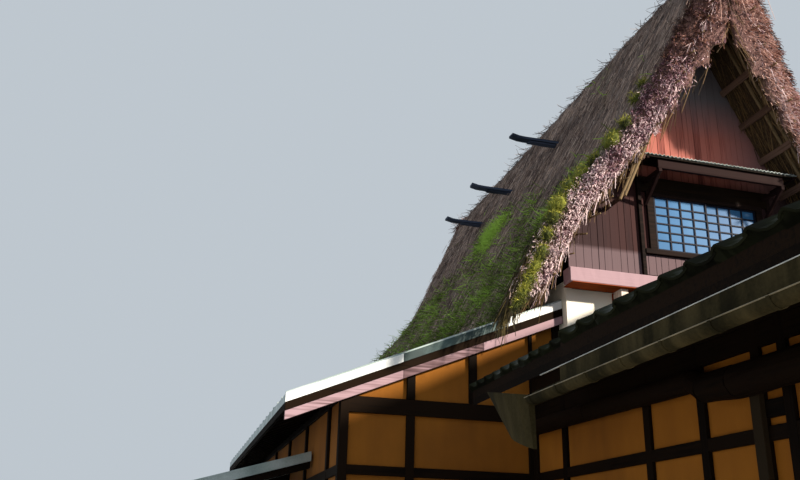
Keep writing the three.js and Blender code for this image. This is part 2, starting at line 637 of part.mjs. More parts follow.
// Side porch on the left wall: a low roof on a frame of two posts
const sidePorchAt = (x) => sidePorchTop + sidePorchFall * (x + leanHalf);
const sidePorchSlab = 120;
const porchPlan = rect(sidePorchEave, -leanHalf, sidePorchNear, sidePorchFar);
const armAt = (x) => sidePorchAt(x) - sidePorchSlab;
const porchPostX = sidePorchEave + 100;
add('side_porch_roof', sloping(porchPlan, [], sidePorchSlab, sidePorchAt), sheetMetal);
add('side_porch_frame', join(
  ...[sidePorchNear + 60, sidePorchFar - 160].map((y) => sloping(
    rect(porchPostX - 60, -leanHalf, y, y + 100), [], 110, armAt)),
  ...[sidePorchNear + 50, sidePorchFar - 170].map((y) => block(porchPostX - 60, porchPostX + 60, y, y + 120,
    0, armAt(porchPostX - 60) - 20)),
  block(porchPostX - 50, porchPostX + 50, sidePorchNear + 60, sidePorchFar - 60,
    armAt(porchPostX - 60) - 160, armAt(porchPostX - 60)),
), darkTimber);

// The origin goes to the middle of the base
const rearEnd = bodyLength + ridgeOverhang;
house.position.set(-(sidePorchEave + leanEave) / 2, -(wingRoofNear + rearEnd) / 2, 0);
house.updateMatrixWorld(true);

export default house;
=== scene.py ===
# Minka farmhouse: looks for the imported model. Metres, z up, origin in the middle of the base.
import math
import random

import bmesh
import bpy
import numpy as np
from mathutils import Matrix, Vector, noise


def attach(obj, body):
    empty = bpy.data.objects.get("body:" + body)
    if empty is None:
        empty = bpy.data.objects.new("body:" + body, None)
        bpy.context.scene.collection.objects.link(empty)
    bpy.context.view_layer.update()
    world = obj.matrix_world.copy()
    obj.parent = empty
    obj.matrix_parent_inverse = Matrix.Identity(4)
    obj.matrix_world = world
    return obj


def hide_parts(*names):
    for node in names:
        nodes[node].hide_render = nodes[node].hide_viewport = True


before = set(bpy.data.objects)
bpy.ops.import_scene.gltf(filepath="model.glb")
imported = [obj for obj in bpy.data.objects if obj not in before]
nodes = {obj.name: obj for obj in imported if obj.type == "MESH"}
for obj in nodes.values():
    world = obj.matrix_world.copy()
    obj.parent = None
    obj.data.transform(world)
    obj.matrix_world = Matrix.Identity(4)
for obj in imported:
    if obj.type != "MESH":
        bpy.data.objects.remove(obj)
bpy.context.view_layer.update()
chance = random.Random(4)
noise.seed_set(4)  # noise_vector takes the time as its seed otherwise
print("frame loaded")

# The house layout, in millimetres, has its zero under the thatch ridge at the front gable wall
shift = Vector((0.535, -1.4725, 0))
gableLength = 9555
bodyHalf, leanHalf, wingHalf = 2340, 5604, 2820  # half the width of the body, with its lean-tos, and of the wing
wingNear, wingFar = -7740, 320
outward = {"left": -1, "right": 1}


def at(x, y, z):
    return Vector((x, y, z)) / 1000 + shift


# camera: level and upright edges gave its place, turn and lens
camera = {"place": (-7740, -10850, 1500), "yaw": 14.56, "pitch": 20.743, "roll": 1.5048, "focal": 837.46,
          "sensor": 36, "frameWidth": 800}
studio = {"sky": "#dfe9f2", "skyStrength": 0.7, "sun": "#fff1dc", "sunStrength": 10, "sunSize": 3,
          "sunFrom": (1, -0.86, 0.47), "floor": "#c2beb8"}


def linear(tint):
    parts = [int(tint[i:i + 2], 16) / 255 for i in (1, 3, 5)]
    return [c / 12.92 if c <= 0.04045 else ((c + 0.055) / 1.055) ** 2.4 for c in parts] + [1]


def addNode(tree, kind, settings=None, links=None):
    node = tree.nodes.new("ShaderNode" + kind)
    for key, value in (settings or {}).items():
        if isinstance(key, str) and hasattr(node, key):
            setattr(node, key, value)
        else:
            node.inputs[key].default_value = value
    for key, source in (links or {}).items():
        tree.links.new(source, node.inputs[key])
    return node


def makeCamera():
    yaw, pitch, roll = (math.radians(camera[k]) for k in ("yaw", "pitch", "roll"))
    forward = Vector((math.sin(yaw) * math.cos(pitch), math.cos(yaw) * math.cos(pitch), math.sin(pitch)))
    side = Vector((math.cos(yaw), -math.sin(yaw), 0))
    up = side.cross(forward)
    right = side * math.cos(roll) + up * math.sin(roll)
    top = up * math.cos(roll) - side * math.sin(roll)
    data = bpy.data.cameras.new("viewCamera")
    data.sensor_width = camera["sensor"]
    data.lens = camera["focal"] * camera["sensor"] / camera["frameWidth"]
    data.clip_end = 200
    obj = bpy.data.objects.new("viewCamera", data)
    turn = Matrix((right, top, -forward)).transposed().to_4x4()
    obj.matrix_world = Matrix.Translation(at(*camera["place"])) @ turn
    bpy.context.scene.collection.objects.link(obj)
    bpy.context.scene.camera = obj


def makeStudio():
    world = bpy.data.worlds.new("paleSky")
    world.use_nodes = True
    sky = world.node_tree.nodes["Background"]
    sky.inputs["Color"].default_value = linear(studio["sky"])
    sky.inputs["Strength"].default_value = studio["skyStrength"]
    bpy.context.scene.world = world
    sun = bpy.data.lights.new("softSun", "SUN")
    sun.energy = studio["sunStrength"]
    sun.color = linear(studio["sun"])[:3]
    sun.angle = math.radians(studio["sunSize"])
    obj = bpy.data.objects.new("softSun", sun)
    obj.rotation_euler = Vector(studio["sunFrom"]).to_track_quat("Z", "Y").to_euler()
    bpy.context.scene.collection.objects.link(obj)
    mesh = bmesh.new()
    bmesh.ops.create_grid(mesh, x_segments=1, y_segments=1, size=60)
    data = bpy.data.meshes.new("studioFloor")
    mesh.to_mesh(data)
    mesh.free()
    paint = bpy.data.materials.new("paleFloor")
    paint.use_nodes = True
    paint.node_tree.nodes["Principled BSDF"].inputs["Base Color"].default_value = linear(studio["floor"])
    data.materials.append(paint)
    floor = bpy.data.objects.new("studioFloor", data)
    bpy.context.scene.collection.objects.link(floor)


makeCamera()
makeStudio()
bpy.context.scene.view_settings.view_transform = "Standard"
print("camera and studio")


# Every pattern is in metres on Object coordinates, and a piece's tone attribute varies its parts
def startMaterial(name, roughness, metallic=0.0, sheen=0.5):
    material = bpy.data.materials.new(name)
    material.use_nodes = True
    shader = material.node_tree.nodes["Principled BSDF"]
    shader.inputs["Roughness"].default_value = roughness
    shader.inputs["Metallic"].default_value = metallic
    if not metallic:
        shader.inputs["IOR"].default_value = 1.45  # wood, straw, clay, paint and paper
        shader.inputs["Specular IOR Level"].default_value = sheen
    return material, material.node_tree


def finishMaterial(material, colour, height=None, strength=0.0, distance=0.0):
    tree = material.node_tree
    shader = tree.nodes["Principled BSDF"]
    tree.links.new(colour, shader.inputs["Base Color"])
    if height is not None:
        bump = addNode(tree, "Bump", {"Strength": strength, "Distance": distance}, {"Height": height})
        tree.links.new(bump.outputs["Normal"], shader.inputs["Normal"])
    return material


def ramp(tree, source, stops):
    node = addNode(tree, "ValToRGB", links={"Fac": source})
    while len(node.color_ramp.elements) < len(stops):
        node.color_ramp.elements.new(0.5)
    for element, (place, tint) in zip(node.color_ramp.elements, stops):
        element.position = place
        element.color = linear(tint)
    return node.outputs["Color"]


def grain(tree, stretch, detail=4.0, distortion=0.0):
    # a noise with that many features to the metre along x, y and z
    place = addNode(tree, "TexCoord")
    mapping = addNode(tree, "Mapping", {"Scale": stretch}, {"Vector": place.outputs["Object"]})
    return addNode(tree, "TexNoise", {"Scale": 1.0, "Detail": detail, "Distortion": distortion},
                   {"Vector": mapping.outputs["Vector"]}).outputs["Fac"]


def combine(tree, first, *others, less=0.0):
    # the first pattern, plus a share of each of the others, less a constant
    for source, share in others:
        scaled = addNode(tree, "Math", {"operation": "MULTIPLY", 1: share}, {0: source})
        first = addNode(tree, "Math", {"operation": "ADD", "use_clamp": True},
                        {0: first, 1: scaled.outputs[0]}).outputs[0]
    return addNode(tree, "Math", {"operation": "SUBTRACT", 1: less, "use_clamp": True}, {0: first}).outputs[0]


# wood: sawn or split and then weathered, its open pores leave little sheen; growth rings are 3 to 8 mm apart, and
# are drawn 26 mm apart, long along the board, so that they show
def woodMaterial(name, stops, along, roughness=0.75, toned=0.45, depth=0.004, lightAndWeatherTinted=False):
    material, tree = startMaterial(name, roughness, sheen=0.06)
    stretch = [38.0, 38.0, 38.0]
    stretch["xyz".index(along)] = 1.1
    fine = grain(tree, stretch, 5.0, 0.6)
    patches = grain(tree, (1.3, 1.3, 0.7), 3.0)
    tone = addNode(tree, "Attribute", {"attribute_name": "tone"}).outputs["Fac"]
    colour = ramp(tree, combine(tree, fine, (patches, 0.55), (tone, toned), less=0.42), stops)
    if lightAndWeatherTinted:
        colour = weatherAndPaintedLight(tree, colour, patches)
    return finishMaterial(material, colour, fine, 0.5, depth)


def weatherAndPaintedLight(tree, colour, patches):
    # where each tint starts and is full, in metres, and its most: grey out to the sides, painted shade in the small
    # roof's cast shadow below it, painted sunlight and rain bleaching below that shadow, where the roof no longer
    # covers the boards, and grey under the ridge
    parts = addNode(tree, "SeparateXYZ", links={"Vector": addNode(tree, "TexCoord").outputs["Object"]})
    height = parts.outputs["Z"]
    rough = addNode(tree, "Math", {"operation": "MULTIPLY_ADD", 1: 0.5}, {0: patches, 2: height})
    centred = addNode(tree, "Math", {"operation": "SUBTRACT", 1: 0.2}, {0: parts.outputs["X"]})
    apart = addNode(tree, "Math", {"operation": "ABSOLUTE"}, {0: centred.outputs[0]})
    for source, start, full, most, tint in ((apart.outputs[0], 0.7, 1.7, 0.7, "#7a6a70"),
                                            (height, 7.35, 7.15, 0.9, "#20181b"),
                                            (height, 5.94, 5.87, 0.75, "#6c5c62"),
                                            (rough.outputs[0], 8.3, 9.1, 1.0, "#67646b")):
        share = addNode(tree, "MapRange", {"From Min": start, "From Max": full, "To Max": most}, {"Value": source})
        mix = addNode(tree, "Mix", {"data_type": "RGBA", 7: linear(tint)}, {"Factor": share.outputs[0], 6: colour})
        colour = mix.outputs[2]
    return colour


cedarStops = [(0.0, "#2b1718"), (0.25, "#6a3a36"), (0.5, "#975850"), (0.75, "#aa6c64"), (1.0, "#c09c96")]
darkStops = [(0.0, "#060403"), (0.4, "#110b07"), (0.75, "#20150c"), (1.0, "#392a1d")]
greyStops = [(0.0, "#382a2d"), (0.3, "#6c575c"), (0.6, "#a08791"), (1.0, "#dccbd3")]
poleStops = [(0.0, "#2f241b"), (0.35, "#574837"), (0.7, "#7a6950"), (1.0, "#b0a184")]
# the gable boards: their weathering, painted shade under the small roof and painted sunlight below its shadow
cedarBoards = woodMaterial("cedarBoardsWeatherAndPaintedLight", cedarStops, "z", toned=0.7, lightAndWeatherTinted=True)
# the window members: painted shade, darker than the boards, for the small roof's shadow over the window
cedarLevel = woodMaterial("cedarRailPaintedShade", [(0.0, "#070505"), (0.4, "#130d0c"), (0.8, "#281b18"),
                                                 (1.0, "#6b564d")], "x")
postTimber = woodMaterial("smokedPineUpright", darkStops, "z", 0.7)
weatheredPost = woodMaterial("greyedPinePost", [(0.0, "#110e09"), (0.5, "#282118"), (1.0, "#463b2d")], "z", 0.8)
beamTimber = woodMaterial("smokedPineAcross", darkStops, "x", 0.7)
plateTimber = woodMaterial("smokedPineAlong", darkStops, "y", 0.7)
bleachedBeam = woodMaterial("bleachedBeam", greyStops, "x", 0.85, depth=0.006)
rafterWood = woodMaterial("smokedRafter", darkStops, "x", 0.85)
sashTimber = woodMaterial("stainedSash", [(0.0, "#080a14"), (1.0, "#1b2033")], "z", 0.5)
pentTimber = woodMaterial("sootedCedarAcross", [(0.0, "#090505"), (0.5, "#1c1011"), (1.0, "#382725")], "x", 0.75)
soffitWood = woodMaterial("bleachedSoffitBoard", [(0.0, "#231815"), (0.5, "#5c4840"), (1.0, "#93796c")], "y",
                               0.85, depth=0.006)
bleachedPost = woodMaterial("bleachedCornerPost", [(0.0, "#6b4336"), (0.3, "#b79584"), (0.55, "#e3d6cc"),
                                                    (1.0, "#fbf8f4")], "z", 0.85, depth=0.006)
redStops = [(0.0, "#3a150a"), (0.35, "#7a3014"), (0.7, "#a2501f"), (1.0, "#c98a55")]
stainedPost = woodMaterial("stainedStud", redStops, "z", 0.8)
# on the board under the base beam, the rails' orange also stands for painted light thrown up under the beam
stainedRailAndBounceLight = woodMaterial("stainedRailAndBounceLight", redStops, "x", 0.8)
poleWood = woodMaterial("strippedPole", poleStops, "z", 0.8)
logWood = woodMaterial("handPeeledLog", darkStops, "y", 0.75, depth=0.008)
# the planks' blue is a painted sheen of the sky on grey weathered wood
bluedPlank = woodMaterial("agedPlankPaintedSheen", [(0.0, "#11151f"), (0.5, "#2c3444"), (0.8, "#55607a"), (1.0, "#a3adc0")], "x",
                          0.6, depth=0.006)

# earth plaster: ochre clay with sand, trowelled; the main body's is cream near white, painted sunlight, as bright as
# the plaster shows in the sun. The grains of sand, 1 to 2 mm, are drawn 11 mm apart, so that they show.
def plasterMaterial(name, stops):
    material, tree = startMaterial(name, 0.95)
    clouds = grain(tree, (0.8, 0.8, 0.8), 6.0)
    sand = grain(tree, (90.0, 90.0, 90.0), 2.0)
    streaks = grain(tree, (5.0, 5.0, 0.8), 3.0)
    mixed = combine(tree, clouds, (sand, 0.18), (streaks, 0.3), less=0.22)
    return finishMaterial(material, ramp(tree, mixed, stops), sand, 0.35, 0.002)


ochrePlaster = plasterMaterial("ochreEarthPlaster", [(0.0, "#552f08"), (0.4, "#7e4c0d"), (0.75, "#955d13"),
                                                     (1.0, "#ad761f")])
# the same ochre plaster, painted lighter for the wing's walls: painted light that makes up for the shade under its
# eaves
ochrePaintedLighter = plasterMaterial("ochrePlasterPaintedLighter", [(0.0, "#663a08"), (0.4, "#91580e"),
                                                           (0.75, "#aa6a15"), (1.0, "#c28422")])
creamPlaster = plasterMaterial("creamEarthPlaster", [(0.0, "#e9dfc4"), (0.4, "#faf5e6"), (1.0, "#fffdf6")])


# straw: dry rice and reed stalks, with tone from stalk to stalk; the ramp gives each area its own colours
def strawMaterial(name, stops):
    material, tree = startMaterial(name, 0.9)
    tone = addNode(tree, "Attribute", {"attribute_name": "tone"}).outputs["Fac"]
    patches = grain(tree, (1.1, 1.1, 1.1))
    flecks = grain(tree, (30.0, 30.0, 9.0), 2.0)
    mixed = combine(tree, tone, (patches, 0.35), (flecks, 0.25), less=0.295)
    return finishMaterial(material, ramp(tree, mixed, stops), flecks, 0.6, 0.006)


oldStraw = strawMaterial("oldRoofStraw", [(0.0, "#2f2627"), (0.3, "#665550"), (0.6, "#9f8b80"), (0.85, "#c5b2a6"),
                                          (1.0, "#e2d4c3")])
cutStraw = strawMaterial("cutStrawEnds", [(0.0, "#3d1e2e"), (0.22, "#7f586a"), (0.45, "#b3939f"), (0.7, "#dac6cb"),
                                          (1.0, "#fbf1f0")])
warmStraw = strawMaterial("warmRidgeStraw", [(0.0, "#3c231b"), (0.35, "#7f5446"), (0.65, "#b58b80"),
                                             (1.0, "#f0dfd8")])
underStraw = strawMaterial("smokedUnderStraw", [(0.0, "#1f1610"), (0.4, "#46351f"), (0.8, "#6f5736"),
                                                (1.0, "#9a8053")])
mossGreen = strawMaterial("cushionMoss", [(0.0, "#1c220a"), (0.35, "#475012"), (0.65, "#86872a"), (1.0, "#cfca62")])
hangingRoots = strawMaterial("hangingRoots", [(0.0, "#15120a"), (0.4, "#332c14"), (0.75, "#55491f"), (1.0, "#7c6f3a")])
fernGreen = strawMaterial("roofGrass", [(0.0, "#262b12"), (0.35, "#596b28"), (0.65, "#93b84a"), (0.88, "#ccf374"),
                                        (1.0, "#ecffb4")])


# fired clay tile: smoked grey, wiped smooth before firing, with matt moss on its rolls and lips; the pale blue-white
# at the top of its ramp is a painted reflection of the sky and painted sunlight in the hollows
def tileMaterial():
    material, tree = startMaterial("smokedClayTile", 0.4)
    tone = addNode(tree, "Attribute", {"attribute_name": "tone"}).outputs["Fac"]
    clouds = grain(tree, (3.2, 3.2, 3.2), 6.0)
    mixed = combine(tree, tone, (clouds, 0.7), less=0.35)
    colour = ramp(tree, mixed, [(0.0, "#0c0d07"), (0.22, "#1d2012"), (0.48, "#393d38"), (0.7, "#7f8fa2"),
                                (1.0, "#d9e3ef")])
    for name, matt, bare in (("Roughness", 0.95, 0.35), ("Specular IOR Level", 0.1, 0.6)):
        share = addNode(tree, "MapRange", {"From Min": 0.25, "From Max": 0.6, "To Min": matt, "To Max": bare},
                        {"Value": mixed})
        tree.links.new(share.outputs[0], tree.nodes["Principled BSDF"].inputs[name])
    return finishMaterial(material, colour, clouds, 0.3, 0.004)


clayTile = tileMaterial()


# sheet metals: rolled, dull with weather, streaked down the slope
def metalMaterial(name, stops, roughness, metallic, toned=0.0, sheen=0.5):
    material, tree = startMaterial(name, roughness, metallic, sheen)
    streaks = grain(tree, (1.2, 6.0, 1.2), 5.0)
    layers = [(grain(tree, (60.0, 60.0, 60.0), 2.0), 0.2)]
    if toned:
        tone = addNode(tree, "Attribute", {"attribute_name": "tone"}).outputs["Fac"]
        layers.append((addNode(tree, "Math", {"operation": "SUBTRACT", 1: 0.5}, {0: tone}).outputs[0], toned))
    mixed = combine(tree, streaks, *layers)
    return finishMaterial(material, ramp(tree, mixed, stops), streaks, 0.15, 0.004)


sheetSteel = metalMaterial("dullZincSheet", [(0.25, "#5d6f6c"), (0.5, "#8b9c9c"), (0.8, "#c3ced2")], 0.5, 0.35)
oldCopper = metalMaterial("oxidisedCopper", [(0.25, "#0d0b07"), (0.5, "#201d10"), (0.8, "#403925")], 0.85, 0.0,
                          sheen=0.06)
# the sheet's teal is a painted reflection of trees and its white painted sunlight; each band's tone picks which
vergeSheet = metalMaterial("paintedVergeSheet", [(0.15, "#1d3234"), (0.4, "#3f5a5c"), (0.62, "#a9b6bd"),
                                                 (0.85, "#e6ebee")], 0.45, 0.0, 0.9)
rimCopper = metalMaterial("wornCopperRim", [(0.25, "#2e2a1e"), (0.8, "#7d735a")], 0.5, 0.0)
brightEdge = metalMaterial("bareSheetEdge", [(0.25, "#8c8f8c"), (0.8, "#d9dcda")], 0.4, 0.2)


# stone: split granite blocks, whose grains of 2 to 5 mm are drawn 14 mm apart, so that they show
def stoneMaterial():
    material, tree = startMaterial("splitGranite", 0.9)
    tone = addNode(tree, "Attribute", {"attribute_name": "tone"}).outputs["Fac"]
    specks = grain(tree, (70.0, 70.0, 70.0), 3.0)
    mixed = combine(tree, specks, (tone, 0.5), less=0.25)
    stops = [(0.0, "#4b4944"), (0.5, "#807d75"), (1.0, "#aaa69c")]
    return finishMaterial(material, ramp(tree, mixed, stops), specks, 0.5, 0.004)


granite = stoneMaterial()


# window paper behind glass: its flat pale blue is a painted reflection of the sky in the glass
def paperMaterial(name, roughness, stops, sheen=0.5):
    material, tree = startMaterial(name, roughness, sheen=sheen)
    return finishMaterial(material, ramp(tree, grain(tree, (1.5, 1.5, 1.5), 3.0), stops))


bluePaper = paperMaterial("paperBehindGlass", 0.25, [(0.3, "#2c5a88"), (0.6, "#396896"), (0.9, "#4c7ba5")], 0.1)
oiledPaper = paperMaterial("oiledPaper", 0.7, [(0.3, "#6d6a52"), (0.6, "#8b8870"), (0.9, "#a5a28b")])
print("materials")


# Each shape is modelled with bmesh, read once, and placed as often as it is needed
def shapeOf(mesh, shadeAt=None):
    mesh.verts.index_update()
    points = np.array([v.co[:] for v in mesh.verts], np.float32)
    faces = [[v.index for v in f.verts] for f in mesh.faces]
    shades = [shadeAt(v.co) if shadeAt else 0 for v in mesh.verts]
    mesh.free()
    return points, faces, np.array(shades, np.float32)


def heap(name, parts, material, replaced=(), smooth=False):
    # each part is a shape, its matrices in metres and their tones
    points, corners, totals, tones = [], [], [], []
    first = 0
    for (local, faces, shades), matrices, tone in parts:
        matrices = np.asarray(matrices, np.float32).reshape(-1, 4, 4)
        placed = np.einsum("nij,vj->nvi", matrices[:, :3, :3], local) + matrices[:, None, :3, 3]
        loop = np.concatenate([np.array(f) for f in faces])
        count = len(matrices)
        offsets = first + np.arange(count) * len(local)
        points.append(placed.reshape(-1, 3))
        corners.append((loop[None, :] + offsets[:, None]).ravel())
        totals.append(np.tile([len(f) for f in faces], count))
        ownTone = np.asarray(tone, np.float32).reshape(-1) * np.ones(count, np.float32)
        tones.append((ownTone[:, None] + shades[None, :]).ravel())
        first += count * len(local)
    points, corners = np.concatenate(points), np.concatenate(corners)
    totals, tones = np.concatenate(totals), np.concatenate(tones)
    data = bpy.data.meshes.new(name)
    data.vertices.add(len(points))
    data.vertices.foreach_set("co", points.ravel())
    data.loops.add(len(corners))
    data.loops.foreach_set("vertex_index", corners.astype(np.int32))
    data.polygons.add(len(totals))
    data.polygons.foreach_set("loop_start", np.concatenate([[0], np.cumsum(totals)[:-1]]).astype(np.int32))
    data.polygons.foreach_set("use_smooth", np.full(len(totals), smooth))
    data.update(calc_edges=True)
    data.attributes.new("tone", "FLOAT", "POINT").data.foreach_set("value", tones)
    data.materials.append(material)
    obj = bpy.data.objects.new(name, data)
    bpy.context.scene.collection.objects.link(obj)
    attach(obj, "root")
    if replaced:
        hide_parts(*replaced)
    return obj


stay = np.eye(4, dtype=np.float32)


def cutAcross(mesh, point, normal, clear=False):
    bmesh.ops.bisect_plane(mesh, geom=mesh.verts[:] + mesh.edges[:] + mesh.faces[:], plane_co=point,
                           plane_no=normal, clear_outer=clear)


def ease(mesh, offset):
    bmesh.ops.bevel(mesh, geom=mesh.edges[:], offset=offset, segments=1, profile=0.5, affect="EDGES", material=-1)


def cube(x0, x1, y0, y1, z0, z1, bevel, cuts=0):
    # a block between those limits of the house layout, with its arrises eased, and cut across its length
    mesh = bmesh.new()
    bmesh.ops.create_cube(mesh, size=1)
    bmesh.ops.scale(mesh, vec=(x1 - x0, y1 - y0, z1 - z0), verts=mesh.verts)
    bmesh.ops.translate(mesh, vec=((x0 + x1) / 2, (y0 + y1) / 2, (z0 + z1) / 2), verts=mesh.verts)
    if bevel:
        ease(mesh, bevel)
    for i in range(cuts):
        cutAcross(mesh, (x0 + (x1 - x0) * (i + 1) / (cuts + 1), 0, 0), (1, 0, 0))
    return mesh


def bar(x0, x1, y0, y1, z0, z1, bevel=6):
    return toFrame(cube(x0, x1, y0, y1, z0, z1, bevel))


def toFrame(mesh):
    bmesh.ops.scale(mesh, vec=(0.001, 0.001, 0.001), verts=mesh.verts)
    bmesh.ops.translate(mesh, vec=shift, verts=mesh.verts)
    return shapeOf(mesh)


def toned(shapes, low=0.0, high=1.0):
    # each shape once, where it was made, with a tone of that range
    return [(shape, stay, low if low == high else chance.uniform(low, high)) for shape in shapes]


def framed(name, bars, material, replaced=()):
    heap(name, toned(bars), material, replaced)


def atEnd(end, parts):
    # the parts as they are, or turned round for the rear gable
    if end == "front":
        return parts
    turned = np.eye(4, dtype=np.float32)
    turned[0, 0] = turned[1, 1] = -1
    turned[0, 3] = 2 * shift.x
    turned[1, 3] = gableLength / 1000 + 2 * shift.y
    return [(shape, turned @ np.asarray(matrices, np.float32), tones) for shape, matrices, tones in parts]


# Thatch. Each slope is a lumpy coat with loose stalks lying on it. A pixel of the view is about 14 mm wide, so
# the stalks, really 4 to 6 mm thick, are drawn 6 to 16 mm thick and fewer.
thatch = {"under": 10350, "over": 11250, "fall": 2.1, "voxel": 0.078, "ridgeVoxel": 0.045, "lump": 0.05,
          "groove": 0.02}
stalks = {"slope": {"left": 16500, "right": 5500}, "verge": {"front": (14500, 8500), "rear": (2500, 2500)},
          "under": 1500, "arris": 420, "ridgeEnd": 26, "roots": 1400, "ridge": 2900, "grass": 7600, "moss": 4000}
steep = math.hypot(1, thatch["fall"])
dice = np.random.default_rng(11)


def softNoise(points, size, seed=0.0):
    # smooth noise of that size in metres at each point, from about -1 to 1
    offset = Vector((seed, 2 * seed, -seed))
    return np.array([noise.noise(Vector(p) / size + offset) for p in points], np.float32)


def grooveNoise(points):
    # grooves that run down the slope: long in z, short along the house
    return np.array([noise.noise(Vector((p[0] / 1.5, p[1] / 0.16, p[2] / 1.5))) for p in points], np.float32)


def layout(points):
    # back to millimetres of the house layout
    return (points - np.array(shift, np.float32)) * 1000


def verticesOf(obj):
    found = []
    for name in ("co", "normal"):
        values = np.zeros(len(obj.data.vertices) * 3, np.float32)
        obj.data.vertices.foreach_get(name, values)
        found.append(values.reshape(-1, 3))
    return found


def evenCopy(name, nodeName, voxel):
    # a copy of a solid with evenly spread faces, for shaping
    data = nodes[nodeName].data.copy()
    work = bmesh.new()
    work.from_mesh(data)
    bmesh.ops.remove_doubles(work, verts=work.verts, dist=0.0005)
    work.to_mesh(data)
    work.free()
    obj = bpy.data.objects.new(name, data)
    bpy.context.scene.collection.objects.link(obj)
    remesh = obj.modifiers.new("even", "REMESH")
    remesh.mode = "VOXEL"
    remesh.voxel_size = voxel
    even = bpy.data.meshes.new_from_object(obj.evaluated_get(bpy.context.evaluated_depsgraph_get()))
    obj.modifiers.clear()
    obj.data = even
    even.name = name
    even.polygons.foreach_set("use_smooth", np.ones(len(even.polygons), bool))
    even.materials.clear()
    return obj


def flare(place):
    # the verge leans out at its foot: how far in millimetres, from the height and the nearer gable
    foot = 0.35 * np.logaddexp(0, (7450 - place[:, 2]) / 150) * 150
    fromEnd = np.minimum(place[:, 1], gableLength - place[:, 1])
    return np.clip(foot, 0, 420) * np.clip((900 - fromEnd) / 1200, 0, 1) ** 0.8


def depthAt(place):
    # how deep in the straw, square to the slope
    return (thatch["over"] - thatch["fall"] * (abs(place[:, 0]) - flare(place)) - place[:, 2]) / steep


def growthAt(place):
    # where grass and moss grow: low on the left slope, and in patches
    low = np.clip((8700 - place[:, 2]) / 2600, 0, 1)
    patch = softNoise(place / 1000, 1.1, 3.1) * 0.9 + softNoise(place / 1000, 0.4, 7.7) * 0.5
    return np.clip(low * 1.1 + patch * 0.8 - 0.3, 0, 1) * (place[:, 0] < -200)


def facingOut(normals, side):
    # 1 where the surface faces square out of that slope, -1 where it faces the rafters
    return normals @ np.array([outward[side] * thatch["fall"], 0, 1]) / steep


def downSlope(side):
    return np.array([outward[side], 0, -thatch["fall"]]) / steep


def cutAt(normals):
    return np.clip(abs(normals[:, 1]) * 1.3 - 0.2, 0, 1)


# the same straw as its stalks: smoked inside, brown on the slope, rose where it was cut, green in patches
def makeCoatMaterial():
    material, tree = startMaterial("packedRoofStraw", 0.95)
    fine = grain(tree, (45.0, 45.0, 12.0))
    mixed = combine(tree, fine, (grain(tree, (2.5, 2.5, 1.0)), 0.6), less=0.35)
    colour = ramp(tree, mixed, [(0.0, "#120c08"), (0.5, "#3a2a1a"), (1.0, "#7a603d")])
    layers = {"outside": [(0.0, "#261d18"), (0.5, "#655650"), (1.0, "#b09c8e")],
              "cut": [(0.0, "#2f1e1e"), (0.5, "#664a49"), (1.0, "#a68b85")],
              "growth": [(0.0, "#1b200b"), (0.5, "#4b5424"), (1.0, "#8c9844")]}
    for name, stops in layers.items():
        share = addNode(tree, "Attribute", {"attribute_name": name})
        mix = addNode(tree, "Mix", {"data_type": "RGBA"},
                      {"Factor": share.outputs["Fac"], 6: colour, 7: ramp(tree, mixed, stops)})
        colour = mix.outputs[2]
    return finishMaterial(material, colour, fine, 0.9, 0.02)


packedStraw = makeCoatMaterial()


def settle(obj, nodeName, places, **shares):
    # the coat's new places, what its material reads, and the solid that it stands for
    obj.data.vertices.foreach_set("co", places.ravel())
    for name, values in shares.items():
        attribute = obj.data.attributes.new(name, "FLOAT", "POINT")
        attribute.data.foreach_set("value", np.asarray(values, np.float32))
    obj.data.materials.append(packedStraw)
    obj.data.update()
    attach(obj, "root")
    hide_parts(nodeName)
    return obj


def thatchCoat(side):
    obj = evenCopy(f"thatch_coat_{side}", f"thatch_{side}", thatch["voxel"])
    points, normals = verticesOf(obj)
    points[:, 0] += flare(layout(points)) / 1000 * outward[side]
    place = layout(points)
    depth = depthAt(place)
    outside, cut = np.clip(1 - depth / 230, 0, 1), cutAt(normals)
    lumps = softNoise(points, 0.55) * 0.6 + softNoise(points, 0.22, 5.0) * 0.4
    shaped = lumps * thatch["lump"] * np.maximum(outside, cut) + grooveNoise(points) * thatch["groove"] * outside
    shaped -= np.clip(1 - depth / 160, 0, 1) * cut * 0.07 * (1 + softNoise(points, 0.4, 9.0))  # worn arris
    return settle(obj, f"thatch_{side}", points + normals * shaped[:, None], outside=outside, cut=cut,
                  growth=growthAt(place) * outside)


def ridgeCoat():
    obj = evenCopy("ridge_coat", "ridge_cap", thatch["ridgeVoxel"])
    points, normals = verticesOf(obj)
    lumps = softNoise(points, 0.4, 12.0) * 0.6 + softNoise(points, 0.15, 15.0) * 0.4
    high = np.clip((layout(points)[:, 2] - 10560) / 200, 0, 1)
    return settle(obj, "ridge_cap", points + normals * (lumps * thatch["lump"] * high)[:, None],
                  outside=np.ones(len(points)), cut=cutAt(normals), growth=np.zeros(len(points)))


# a stalk one unit long and one unit thick, standing on the origin; the bends are in its own thicknesses
def stalkShapes(bends, widths=(0.5, 0.3)):
    shapes = []
    for bend in bends:
        mesh = bmesh.new()
        bmesh.ops.create_cone(mesh, segments=3, radius1=widths[0], radius2=widths[1], depth=1, cap_ends=True)
        if bend:
            upright = [e for e in mesh.edges if abs(e.verts[0].co.z - e.verts[1].co.z) > 0.5]
            bmesh.ops.subdivide_edges(mesh, edges=upright, cuts=1)
        for vert in mesh.verts:
            vert.co.z += 0.5
            vert.co.x += bend * vert.co.z ** 2
        shapes.append(shapeOf(mesh))
    return shapes


